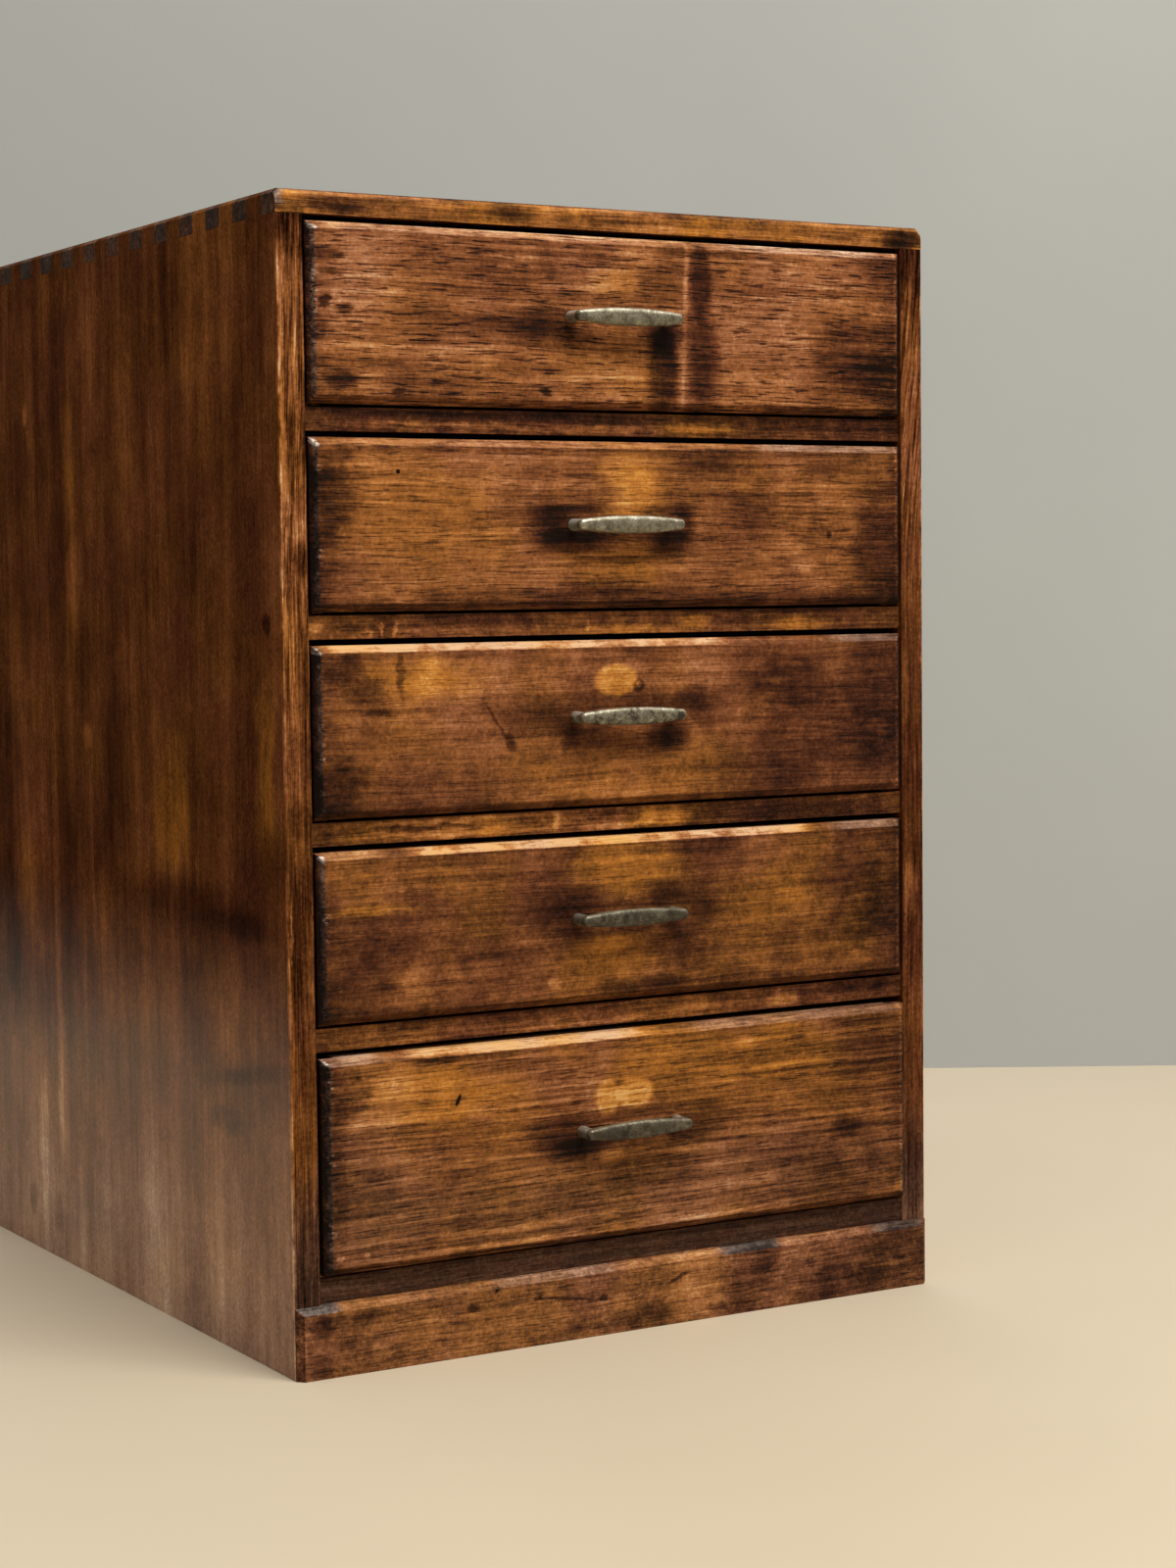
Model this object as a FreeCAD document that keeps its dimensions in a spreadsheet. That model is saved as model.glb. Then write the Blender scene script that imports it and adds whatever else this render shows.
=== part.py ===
"""Tabletop cabinet of five drawers, for seeds and other small goods.

A box of thin boards, finger-jointed at the two top corners, holds four rails
and a floor board. The drawers run on the rails and on strips behind them.
X runs to the right, Y from front to back and Z up. The origin is on the
surface that the cabinet stands on, below the middle of its bounding box.
"""
import FreeCAD, Part
import Sketcher
import os
import re

# Driving dimensions in millimetres: alias, value, what it is.
SIZES = (
    ("width", 330, "over the side boards"),
    ("depth", 388.8, "of the side boards, front to back"),
    ("side_thick", 12, "side boards"),
    ("top_thick", 10, "top board"),
    ("finger_count", 27, "fingers along each top corner, both boards counted"),
    ("top_round", 3, "rounding of the top's front edge"),
    ("side_bevel", 1.8, "bevel along the two finger-jointed corners"),
    ("rail_thick", 10, "rails between the drawers, and the runners"),
    ("rail_deep", 40, "rails, front to back"),
    ("rail_recess", 2, "rails and floor board behind the side boards' edges"),
    ("housing_deep", 4, "housings in the side boards"),
    ("floor_thick", 11, "floor board"),
    ("plinth_tall", 31, "plinth, up to the floor board's underside"),
    ("plinth_proud", 3.5, "plinth in front of the side boards"),
    ("plinth_thick", 12, "plinth between the side boards"),
    ("plinth_bevel", 3, "bevel along the plinth's top and ends"),
    ("back_thick", 5, "back panel"),
    ("back_inset", 1, "back panel in from the boards' rear edges"),
    ("back_ledge", 6, "rebate that the back panel lies in, across each board"),
    ("top_rebate", 5, "the same rebate, up into the top board"),
    ("back_lift", 2, "back panel above the surface"),
    ("runner_wide", 12, "runners, across"),
    ("top_opening", 79.2, "height of the highest drawer's opening"),
    ("middle_opening", 77, "height of each middle opening"),
    ("bottom_opening", 96.4, "height of the lowest opening"),
    ("gap_side", 1.1, "beside each drawer"),
    ("gap_top", 2.6, "above each drawer's front"),
    ("gap_bottom", 1.4, "below each drawer's front"),
    ("gap_run", 0.3, "between a drawer's sides and what they run on"),
    ("gap_back", 0.5, "behind a drawer that is pushed home"),
    ("front_thick", 15, "drawer fronts"),
    ("front_lip", 7, "drawer front before the ends of the drawer's sides"),
    ("front_proud", 2.5, "drawer fronts before the side boards' edges"),
    ("front_bevel", 3.2, "bevel round each drawer front"),
    ("last_out", 2, "lowest drawer, left out by this much"),
    ("board_thick", 8, "drawer sides and backs"),
    ("board_low", 3, "drawer sides below the top of the front"),
    ("rear_end", 5, "drawer sides behind the drawer's back"),
    ("rear_housing", 3, "housings for the drawer's back"),
    ("panel_thick", 4, "drawer bottoms"),
    ("panel_lift", 6, "drawer bottoms above the lower edge of the sides"),
    ("panel_fit", 0.3, "play round a drawer bottom in its grooves"),
    ("groove_deep", 4, "grooves for the drawer bottoms"),
    ("pull_long", 53.5, "pull, end to end"),
    ("pull_tall", 8, "pull, height at the middle"),
    ("pull_end", 4.4, "pull, height at its ends"),
    ("pull_thick", 4.2, "pull's bar, front to back"),
    ("pull_reach", 11.5, "pull before the drawer front"),
    ("pull_bevel", 0.9, "bevel round the pull's front face"),
    ("pull_aside", -2, "pulls to the right of the middle"),
    ("leg_wide", 6, "pull's legs"),
    ("leg_inset", 2.6, "legs' axes in from the ends of the pull"),
    ("screw_wide", 2.4, "pull screws"),
    ("screw_bite", 7, "pull screws, length in the legs"),
    ("screw_play", 0.3, "play round the screws in the drawer fronts"),
    ("head_wide", 5.5, "screw heads"),
    ("head_tall", 1.8, "screw heads"),
    ("pull_rise_1", 2, "pull above the middle of its front, drawer 1"),
    ("pull_rise_2", 0, "the same, drawer 2"),
    ("pull_rise_3", 3, "the same, drawer 3"),
    ("pull_rise_4", 1, "the same, drawer 4"),
    ("pull_rise_5", 3.5, "the same, drawer 5"),
)
OPENINGS = ("top_opening", "middle_opening", "middle_opening", "middle_opening",
            "bottom_opening")
DRAWERS = tuple(range(1, len(OPENINGS) + 1))
RAILS = DRAWERS[:-1]
SIDES = (("left", -1), ("right", 1))
FUNCTIONS = ("floor", "min")
UP = FreeCAD.Vector(0, 0, 1)

# Places that several pieces share, as formulas of the sizes.
FRONT_Y = "(-(depth - front_proud - last_out - pull_reach) / 2)"
REAR_Y = f"({FRONT_Y} + depth)"
PANEL_Y = f"({REAR_Y} - back_inset - back_thick)"
FLOOR_TOP = "(plinth_tall + floor_thick)"
FINGER = "(depth / finger_count)"
INSIDE = "(width - 2 * side_thick)"
BOX_WIDE = f"({INSIDE} - 2 * gap_side)"
BOX_INSIDE = f"({BOX_WIDE} - 2 * board_thick)"
BOX_LONG = "(depth - back_inset - back_thick - gap_back + front_proud)"
BACK_Y = f"({BOX_LONG} - rear_end - board_thick)"
SIDE_FOOT = "(gap_run - gap_bottom)"
ARRIS_MOST = "top_thick / 2.5"
LEG_X = "(pull_long / 2 - leg_inset)"


def opening_floor(number):
    """Height of what drawer `number` stands over, counted from the top."""
    below = OPENINGS[number:]
    return " + ".join([FLOOR_TOP, *below, f"{len(below)} * rail_thick"])


HEIGHT = f"({opening_floor(1)} + top_opening + top_thick)"

doc = FreeCAD.newDocument("cabinet")
parts = []


def make_sheet():
    sheet = doc.addObject("Spreadsheet::Sheet", "Sizes")
    for row, (alias, value, meaning) in enumerate(SIZES, start=1):
        sheet.set(f"A{row}", meaning)
        sheet.set(f"B{row}", str(value))
        sheet.setAlias(f"B{row}", alias)
    doc.recompute()


def bind(item, path, formula):
    """Tie one property to the sheet: each word of the formula is an alias."""
    def cell(match):
        word = match.group()
        return word if word in FUNCTIONS else f"Sizes.{word}"
    item.setExpression(path, re.sub(r"[a-z][a-z_0-9]*", cell, formula))


def bind_place(item, path, place):
    for axis, formula in zip("xyz", place):
        if formula != "0":
            bind(item, f"{path}.Base.{axis}", formula)


def new_body(label, place=("0", "0", "0")):
    body = doc.addObject("PartDesign::Body", label)
    bind_place(body, "Placement", place)
    parts.append(body)
    return body


def origin_plane(body, role):
    return next(item for item in body.Origin.OriginFeatures if item.Role == role)


def new_sketch(body, name, role, offset):
    """A sketch on one of the body's own planes, moved by the offset."""
    sketch = body.newObject("Sketcher::SketchObject", f"{body.Label}_{name}")
    sketch.AttachmentSupport = (origin_plane(body, role), "")
    sketch.MapMode = "FlatFace"
    bind_place(sketch, "AttachmentOffset", offset)
    return sketch


def dimension(sketch, name, formula, kind, places, rough):
    """A driving dimension of a sketch, tied to the sheet; `rough` starts the solver."""
    index = sketch.addConstraint(Sketcher.Constraint(kind, *places, float(rough)))
    sketch.renameConstraint(index, name)
    bind(sketch, f"Constraints.{name}", formula)


def add_polygon(sketch, points):
    """Closed chain of lines through rough points; returns the first line."""
    first = sketch.GeometryCount
    corners = [FreeCAD.Vector(x, y, 0) for x, y in points]
    for start, end in zip(corners, corners[1:] + corners[:1]):
        line = sketch.addGeometry(Part.LineSegment(start, end))
        if start.y == end.y:
            sketch.addConstraint(Sketcher.Constraint("Horizontal", line))
        elif start.x == end.x:
            sketch.addConstraint(Sketcher.Constraint("Vertical", line))
    for step in range(len(points)):
        after = first + (step + 1) % len(points)
        sketch.addConstraint(Sketcher.Constraint("Coincident", first + step, 2, after, 1))
    return first


def add_rectangle(sketch, wide, tall):
    """Rectangle from the sketch's origin."""
    first = add_polygon(sketch, ((0, 0), (10, 0), (10, 10), (0, 10)))
    sketch.addConstraint(Sketcher.Constraint("Coincident", first, 1, -1, 1))
    dimension(sketch, "wide", wide, "DistanceX", (first, 1, first, 2), 10)
    dimension(sketch, "tall", tall, "DistanceY", (first + 1, 1, first + 1, 2), 10)


def extrude(body, kind, sketch, length):
    feature = body.newObject(f"PartDesign::{kind}", f"{sketch.Label}_{kind.lower()}")
    feature.Profile = sketch
    bind(feature, "Length", length)
    body.Tip = feature
    return feature


def board(label, size, place, inside=("0", "0", "0")):
    """Rectangular board with its low corner at `inside` in its own frame."""
    body = new_body(label, place)
    sketch = new_sketch(body, "outline", "XY_Plane", inside)
    add_rectangle(sketch, size[0], size[1])
    extrude(body, "Pad", sketch, size[2])
    return body


def cut_box(body, name, low, size):
    """Cut a groove, housing or rebate: a box between two corners."""
    top = (low[0], low[1], f"{low[2]} + {size[2]}")
    sketch = new_sketch(body, name, "XY_Plane", top)
    add_rectangle(sketch, size[0], size[1])
    return extrude(body, "Pocket", sketch, size[2])


def repeat_along_y(body, features, length, count):
    """Repeat cuts at even steps, the last one `length` behind the first."""
    pattern = body.newObject("PartDesign::LinearPattern", f"{body.Label}_fingers")
    pattern.Originals = features
    pattern.Direction = (features[0].Profile[0], ["V_Axis"])
    bind(pattern, "Length", length)
    bind(pattern, "Occurrences", count)
    body.Tip = pattern


def dress_edges(body, kind, size, test):
    """Fillet or chamfer the edges whose two ends pass the test."""
    doc.recompute()
    base = body.Tip
    names = []
    for index, edge in enumerate(base.Shape.Edges, start=1):
        ends = [vertex.Point for vertex in edge.Vertexes]
        if len(ends) == 2 and test(*ends):
            names.append(f"Edge{index}")
    feature = body.newObject(f"PartDesign::{kind}", f"{body.Label}_{kind.lower()}")
    feature.Base = (base, names)
    bind(feature, "Radius" if kind == "Fillet" else "Size", size)
    body.Tip = feature


def near(first, second):
    return abs(first - second) < 1e-4


def make_top_board():
    """The top's fingers are the odd ones, so its end grain shows at the front."""
    body = board("top_board", ("width", "depth", "top_thick"),
                 ("0", FRONT_Y, f"{HEIGHT} - top_thick"), ("-width / 2", "0", "0"))
    slots = [cut_box(body, f"slot_{name}", (low, FINGER, "0"),
                     ("side_thick", FINGER, "top_thick"))
             for name, low in (("left", "-width / 2"), ("right", "width / 2 - side_thick"))]
    repeat_along_y(body, slots, f"2 * {FINGER} * (floor(finger_count / 2) - 1)",
                   "floor(finger_count / 2)")
    cut_box(body, "rebate",
            (f"-({INSIDE} / 2 + back_ledge)", "depth - back_inset - back_thick", "0"),
            (f"{INSIDE} + 2 * back_ledge", "back_inset + back_thick", "top_rebate"))
    doc.recompute()
    box = body.Tip.Shape.BoundBox

    def is_end(one, two):
        """Along the top of a finger's end."""
        on_top = near(one.z, box.ZMax) and near(two.z, box.ZMax)
        return on_top and near(one.x, two.x) and near(abs(one.x), box.XMax)

    def is_front(one, two):
        """Along the top of the front edge and down the bevels at its ends."""
        at_front = near(one.y, box.YMin) and near(two.y, box.YMin)
        return at_front and (near(one.z, box.ZMax) or near(two.z, box.ZMax))
    dress_edges(body, "Chamfer", f"min(side_bevel; {ARRIS_MOST})", is_end)
    dress_edges(body, "Fillet", f"min(top_round; {ARRIS_MOST})", is_front)


def make_side_board(name, sign):
    """Side board with slots for the top's fingers and housings for what it holds."""
    left = "-width / 2" if sign < 0 else "width / 2 - side_thick"
    inner = "side_thick - housing_deep" if sign < 0 else "0"
    ledge = "side_thick - back_ledge" if sign < 0 else "0"
    body = board(f"{name}_side_board", ("side_thick", "depth", HEIGHT), (left, FRONT_Y, "0"))
    slot = cut_box(body, "slot", ("0", "0", f"{HEIGHT} - top_thick"),
                   ("side_thick", FINGER, "top_thick"))
    repeat_along_y(body, [slot], f"2 * {FINGER} * (floor((finger_count + 1) / 2) - 1)",
                   "floor((finger_count + 1) / 2)")
    for number in RAILS:
        cut_box(body, f"rail_housing_{number}",
                (inner, "rail_recess", f"{opening_floor(number)} - rail_thick"),
                ("housing_deep", "rail_deep", "rail_thick"))
    cut_box(body, "floor_housing", (inner, "rail_recess", "plinth_tall"),
            ("housing_deep", "depth - rail_recess - back_inset - back_thick", "floor_thick"))
    cut_box(body, "rebate", (ledge, "depth - back_inset - back_thick", "0"),
            ("back_ledge", "back_inset + back_thick", f"{HEIGHT} - top_thick"))
    outer_x = 0 if sign < 0 else 1
    doc.recompute()
    box = body.Tip.Shape.BoundBox
    face_x = (box.XMin, box.XMax)[outer_x]

    def is_outer(one, two):
        """Along the top of a finger, on the outer face."""
        return all(near(end.z, box.ZMax) and near(end.x, face_x) for end in (one, two))
    dress_edges(body, "Chamfer", f"min(side_bevel; {ARRIS_MOST})", is_outer)


def make_rails():
    """Rails are let into the side boards; runners carry on behind them."""
    span = f"({INSIDE} + 2 * housing_deep)"
    runner_y = f"({FRONT_Y} + rail_recess + rail_deep)"
    for number in RAILS:
        low = f"({opening_floor(number)} - rail_thick)"
        board(f"rail_{number}", (span, "rail_deep", "rail_thick"),
              (f"-{span} / 2", f"{FRONT_Y} + rail_recess", low))
        for name, sign in SIDES:
            edge = f"-{INSIDE} / 2" if sign < 0 else f"{INSIDE} / 2 - runner_wide"
            board(f"{name}_runner_{number}",
                  ("runner_wide", f"{PANEL_Y} - {runner_y}", "rail_thick"),
                  (edge, runner_y, low))
    board("floor_board", (span, f"{PANEL_Y} - {FRONT_Y} - rail_recess", "floor_thick"),
          (f"-{span} / 2", f"{FRONT_Y} + rail_recess", "plinth_tall"))


def make_back_panel():
    wide = f"({INSIDE} + 2 * back_ledge)"
    board("back_panel",
          (wide, "back_thick", f"{HEIGHT} - top_thick + top_rebate - back_lift"),
          (f"-{wide} / 2", PANEL_Y, "back_lift"))


def make_plinth():
    """Plinth: thick between the side boards, with a lip over their edges."""
    body = new_body("plinth_board", ("0", FRONT_Y, "0"))
    sketch = new_sketch(body, "plan", "XY_Plane", ("0", "0", "0"))
    add_polygon(sketch, ((-30, -3), (30, -3), (30, 0), (20, 0),
                         (20, 9), (-20, 9), (-20, 0), (-30, 0)))
    for line in (2, 6):
        sketch.addConstraint(Sketcher.Constraint("PointOnObject", line, 2, -1))
    dimension(sketch, "half", "width / 2", "DistanceX", (0, 1, -1, 1), 30)
    dimension(sketch, "wide", "width", "DistanceX", (0, 1, 0, 2), 60)
    dimension(sketch, "inner_half", f"{INSIDE} / 2", "DistanceX", (4, 2, -1, 1), 20)
    dimension(sketch, "inner", INSIDE, "DistanceX", (4, 2, 4, 1), 40)
    dimension(sketch, "proud", "plinth_proud", "DistanceY", (1, 1, 1, 2), 3)
    dimension(sketch, "thick", "plinth_thick", "DistanceY", (3, 1, 3, 2), 9)
    extrude(body, "Pad", sketch, "plinth_tall")
    doc.recompute()
    box = body.Tip.Shape.BoundBox

    def is_shown(one, two):
        """Front face's top edge and its two upright edges."""
        at_front = near(one.y, box.YMin) and near(two.y, box.YMin)
        upright = near(one.x, two.x)
        return at_front and (upright or near(one.z, box.ZMax))
    dress_edges(body, "Chamfer", "min(plinth_bevel; plinth_proud * 0.9)", is_shown)


def drawer_place(number):
    """The drawer's own frame: bottom edge of its front's outer face, in the middle."""
    out = " - last_out" if number == DRAWERS[-1] else ""
    return ("0", f"{FRONT_Y} - front_proud{out}", f"{opening_floor(number)} + gap_bottom")


def leg_circles(body, name, offset, wide):
    """Two circles, as far apart as the pull's legs and screws."""
    sketch = new_sketch(body, name, "XZ_Plane", offset)
    for hole, side in enumerate((-20, 20)):
        sketch.addGeometry(Part.Circle(FreeCAD.Vector(side, 0, 0), UP, 1))
        dimension(sketch, f"wide_{hole}", wide, "Diameter", (hole,), 2)
    sketch.addConstraint(Sketcher.Constraint("Symmetric", 0, 3, 1, 3, -1, 1))
    sketch.addConstraint(Sketcher.Constraint("PointOnObject", 0, 3, -1))
    dimension(sketch, "apart", f"2 * {LEG_X}", "DistanceX", (0, 3, 1, 3), 40)
    return sketch


def make_drawer_front(number, tall, pull_z):
    """Front with a bevel all round, rebated ends, a groove and two screw holes."""
    place = drawer_place(number)
    body = board(f"drawer_{number}_front", (BOX_WIDE, "front_thick", tall),
                 place, (f"-{BOX_WIDE} / 2", "0", "0"))
    doc.recompute()
    box = body.Tip.Shape.BoundBox
    dress_edges(body, "Chamfer", "min(front_bevel; front_lip * 0.8)",
                lambda one, two: near(one.y, box.YMin) and near(two.y, box.YMin))
    for name, low in (("left", f"-{BOX_WIDE} / 2"), ("right", f"{BOX_INSIDE} / 2")):
        cut_box(body, f"rebate_{name}", (low, "front_lip", "0"),
                ("board_thick", "front_thick - front_lip", tall))
    cut_box(body, "groove",
            (f"-{BOX_INSIDE} / 2", "front_thick - groove_deep", f"{SIDE_FOOT} + panel_lift"),
            (BOX_INSIDE, "groove_deep", "panel_thick"))
    holes = leg_circles(body, "holes", ("pull_aside", pull_z, "0"),
                        "screw_wide + screw_play")
    extrude(body, "Pocket", holes, "front_thick")


def make_drawer_box(number, side_tall):
    """Sides, back and bottom of one drawer, behind its front."""
    place = drawer_place(number)
    side_long = f"({BOX_LONG} - front_lip)"
    for name, sign in SIDES:
        edge = f"-{BOX_WIDE} / 2" if sign < 0 else f"{BOX_INSIDE} / 2"
        body = board(f"drawer_{number}_{name}_side", ("board_thick", side_long, side_tall),
                     place, (edge, "front_lip", SIDE_FOOT))
        groove = f"-{BOX_INSIDE} / 2 - groove_deep" if sign < 0 else f"{BOX_INSIDE} / 2"
        cut_box(body, "groove", (groove, "front_lip", f"{SIDE_FOOT} + panel_lift"),
                ("groove_deep", side_long, "panel_thick"))
        rear = f"-{BOX_INSIDE} / 2 - rear_housing" if sign < 0 else f"{BOX_INSIDE} / 2"
        cut_box(body, "housing", (rear, BACK_Y, SIDE_FOOT),
                ("rear_housing", "board_thick", side_tall))
    back_wide = f"({BOX_INSIDE} + 2 * rear_housing)"
    back = board(f"drawer_{number}_back", (back_wide, "board_thick", side_tall),
                 place, (f"-{back_wide} / 2", BACK_Y, SIDE_FOOT))
    cut_box(back, "groove", (f"-{back_wide} / 2", BACK_Y, f"{SIDE_FOOT} + panel_lift"),
            (back_wide, "groove_deep", "panel_thick"))
    panel_wide = f"({BOX_INSIDE} + 2 * groove_deep - 2 * panel_fit)"
    panel_y = "(front_thick - groove_deep + panel_fit)"
    board(f"drawer_{number}_bottom",
          (panel_wide, f"{BACK_Y} + groove_deep - panel_fit - {panel_y}", "panel_thick"),
          place, (f"-{panel_wide} / 2", panel_y, f"{SIDE_FOOT} + panel_lift"))


def add_lens(sketch, wide, ends, middle):
    """Outline with straight ends and two arcs that bulge from them to the middle."""
    half, tall, bulge = 20, 4, 2
    corners = [FreeCAD.Vector(x, z, 0) for x, z in
               ((-half, -tall), (half, -tall), (half, tall), (-half, tall))]
    outline = (Part.Arc(corners[0], FreeCAD.Vector(0, -tall - bulge, 0), corners[1]),
               Part.LineSegment(corners[1], corners[2]),
               Part.Arc(corners[2], FreeCAD.Vector(0, tall + bulge, 0), corners[3]),
               Part.LineSegment(corners[3], corners[0]))
    below, right, above, left = [sketch.addGeometry(item) for item in outline]
    for one, two in ((below, right), (right, above), (above, left), (left, below)):
        sketch.addConstraint(Sketcher.Constraint("Coincident", one, 2, two, 1))
    sketch.addConstraint(Sketcher.Constraint("Symmetric", below, 1, below, 2, -2))
    sketch.addConstraint(Sketcher.Constraint("Symmetric", below, 1, above, 2, -1))
    sketch.addConstraint(Sketcher.Constraint("Symmetric", below, 2, above, 1, -1))
    sketch.addConstraint(Sketcher.Constraint("Equal", below, above))
    rise = f"(({middle}) - ({ends})) / 2"
    dimension(sketch, "wide", wide, "DistanceX", (below, 1, below, 2), 2 * half)
    dimension(sketch, "ends", ends, "DistanceY", (right, 1, right, 2), 2 * tall)
    dimension(sketch, "radius", f"(({wide} / 2)^2 + ({rise})^2) / (2 * ({rise}))",
              "Radius", (below,), (half ** 2 + bulge ** 2) / (2 * bulge))


def make_pull(number, pull_z):
    """Cast pull: a boat-shaped bar with a bevelled face, on two round legs."""
    _, face_y, bottom_z = drawer_place(number)
    body = new_body(f"drawer_{number}_pull", ("pull_aside", face_y, f"{bottom_z} + {pull_z}"))
    outline = new_sketch(body, "outline", "XZ_Plane", ("0", "0", "pull_reach - pull_thick"))
    add_lens(outline, "pull_long", "pull_end", "pull_tall")
    extrude(body, "Pad", outline, "pull_thick")
    dress_edges(body, "Fillet", "pull_end / 3",
                lambda one, two: near(one.x, two.x) and near(one.z, two.z))
    doc.recompute()
    front_y = body.Tip.Shape.BoundBox.YMin
    dress_edges(body, "Chamfer", "min(pull_bevel; pull_end / 4)",
                lambda one, two: near(one.y, front_y) and near(two.y, front_y))
    legs = leg_circles(body, "legs", ("0", "0", "0"), "leg_wide")
    extrude(body, "Pad", legs, "pull_reach - pull_thick")
    holes = leg_circles(body, "holes", ("0", "0", "0"), "screw_wide")
    extrude(body, "Pocket", holes, "screw_bite").Reversed = True


def make_pull_screws(number, pull_z):
    """Two screws from inside the drawer, through its front into the pull's legs."""
    _, face_y, bottom_z = drawer_place(number)
    screws = []
    for name, sign in SIDES:
        pieces = []
        for part, wide, tall, rear in (
                ("shank", "screw_wide", "front_thick + screw_bite", "front_thick"),
                ("head", "head_wide", "head_tall", "front_thick + head_tall")):
            piece = doc.addObject("Part::Cylinder", f"drawer_{number}_{name}_{part}")
            piece.Placement.Rotation = FreeCAD.Rotation(FreeCAD.Vector(1, 0, 0), 90)
            bind(piece, "Radius", f"{wide} / 2")
            bind(piece, "Height", tall)
            side = "-" if sign < 0 else "+"
            bind_place(piece, "Placement", (f"pull_aside {side} {LEG_X}",
                                            f"{face_y} + {rear}", f"{bottom_z} + {pull_z}"))
            pieces.append(piece)
        screw = doc.addObject("Part::Fuse", f"drawer_{number}_{name}_screw")
        screw.Base, screw.Tool = pieces
        screws.append(screw)
    group = doc.addObject("Part::Compound", f"drawer_{number}_pull_screws")
    group.Links = screws
    parts.append(group)


def make_drawer(number):
    tall = f"({OPENINGS[number - 1]} - gap_top - gap_bottom)"
    pull_z = f"({tall} / 2 + pull_rise_{number})"
    make_drawer_front(number, tall, pull_z)
    make_drawer_box(number, f"({tall} - board_low + gap_bottom - gap_run)")
    make_pull(number, pull_z)
    make_pull_screws(number, pull_z)


def check_model():
    """Stop on a failed feature, a cut that removes nothing or an empty piece."""
    for item in doc.Objects:
        if {"Invalid", "Error"} & set(item.State):
            raise RuntimeError(f"{item.Label} failed: {item.State}")
        if item.isDerivedFrom("PartDesign::Pocket"):
            before = item.BaseFeature.Shape.Volume
            if item.Shape.Volume > before - 0.01:
                raise RuntimeError(f"{item.Label} cuts nothing")
    for part in parts:
        if part.Shape.isNull() or not part.Shape.isValid():
            raise RuntimeError(f"{part.Label} has no valid shape")


make_sheet()
make_top_board()
for side_name, side_sign in SIDES:
    make_side_board(side_name, side_sign)
make_rails()
make_back_panel()
make_plinth()
for drawer_number in DRAWERS:
    make_drawer(drawer_number)
doc.recompute()
check_model()
os.makedirs("parts", exist_ok=True)
for part in parts:
    part.Shape.exportStep(f"parts/{part.Label}.step")
print(f"{len(parts)} nodes")
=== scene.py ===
"""Looks, light and camera for the seed storage cabinet: a five-drawer table chest of old stained oak."""
import math

import bmesh
import bpy
from mathutils import Matrix, Vector


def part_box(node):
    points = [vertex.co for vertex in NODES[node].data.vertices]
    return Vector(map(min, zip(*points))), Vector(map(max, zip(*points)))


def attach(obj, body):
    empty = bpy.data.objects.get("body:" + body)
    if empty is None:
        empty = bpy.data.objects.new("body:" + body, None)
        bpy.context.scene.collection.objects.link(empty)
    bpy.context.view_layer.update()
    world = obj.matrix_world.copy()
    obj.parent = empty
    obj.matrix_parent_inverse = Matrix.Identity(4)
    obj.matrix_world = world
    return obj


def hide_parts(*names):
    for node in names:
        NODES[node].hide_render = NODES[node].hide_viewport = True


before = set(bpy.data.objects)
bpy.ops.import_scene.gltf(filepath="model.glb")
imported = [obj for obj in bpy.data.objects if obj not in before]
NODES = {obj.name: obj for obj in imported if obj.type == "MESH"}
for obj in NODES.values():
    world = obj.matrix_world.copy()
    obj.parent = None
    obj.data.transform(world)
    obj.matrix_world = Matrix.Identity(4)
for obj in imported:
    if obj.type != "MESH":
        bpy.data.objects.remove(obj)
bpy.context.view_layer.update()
MM = 0.001
X, Y, Z = 0, 1, 2

# -------- colours, each from 0 to 255
# the stained oak's colours from its darkest stain to bare worn edges: red-brown, golden, and grey, which is
# wear and also the painted sheen and painted floor reflection
RED_OAK = [(0.00, (21, 10, 5)), (0.15, (45, 21, 12)), (0.30, (71, 37, 21)), (0.45, (100, 57, 32)),
           (0.60, (132, 80, 48)), (0.75, (164, 108, 72)), (0.88, (192, 144, 106)), (1.00, (216, 178, 142))]
GOLD_OAK = [(0.00, (22, 9, 3)), (0.15, (46, 24, 7)), (0.30, (74, 42, 14)), (0.45, (106, 66, 26)),
            (0.60, (146, 91, 36)), (0.75, (178, 113, 46)), (0.88, (202, 138, 64)), (1.00, (220, 168, 98))]
GREY_OAK = [(0.00, (18, 15, 15)), (0.30, (62, 54, 50)), (0.60, (122, 110, 102)), (0.85, (182, 172, 162)),
            (1.00, (228, 220, 210))]
PEWTER = [(0.00, (36, 28, 18)), (0.20, (64, 56, 41)), (0.45, (104, 97, 79)), (0.65, (144, 137, 116)),
          (0.85, (184, 179, 160)), (1.00, (226, 223, 212))]
STEEL = [(0.3, (70, 52, 38)), (0.5, (104, 96, 86)), (0.7, (146, 142, 134))]
FLOOR_COLOUR = (206, 192, 167)
BACKDROP_COLOUR = (178, 182, 180)
MOTTLE = 5  # how much lighter a studio surface is in places


def srgb(red, green, blue):
    """An sRGB colour from 0 to 255 as linear RGBA."""
    def linear(value):
        value /= 255.0
        return value / 12.92 if value <= 0.04045 else ((value + 0.055) / 1.055) ** 2.4
    return (linear(red), linear(green), linear(blue), 1.0)


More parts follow.
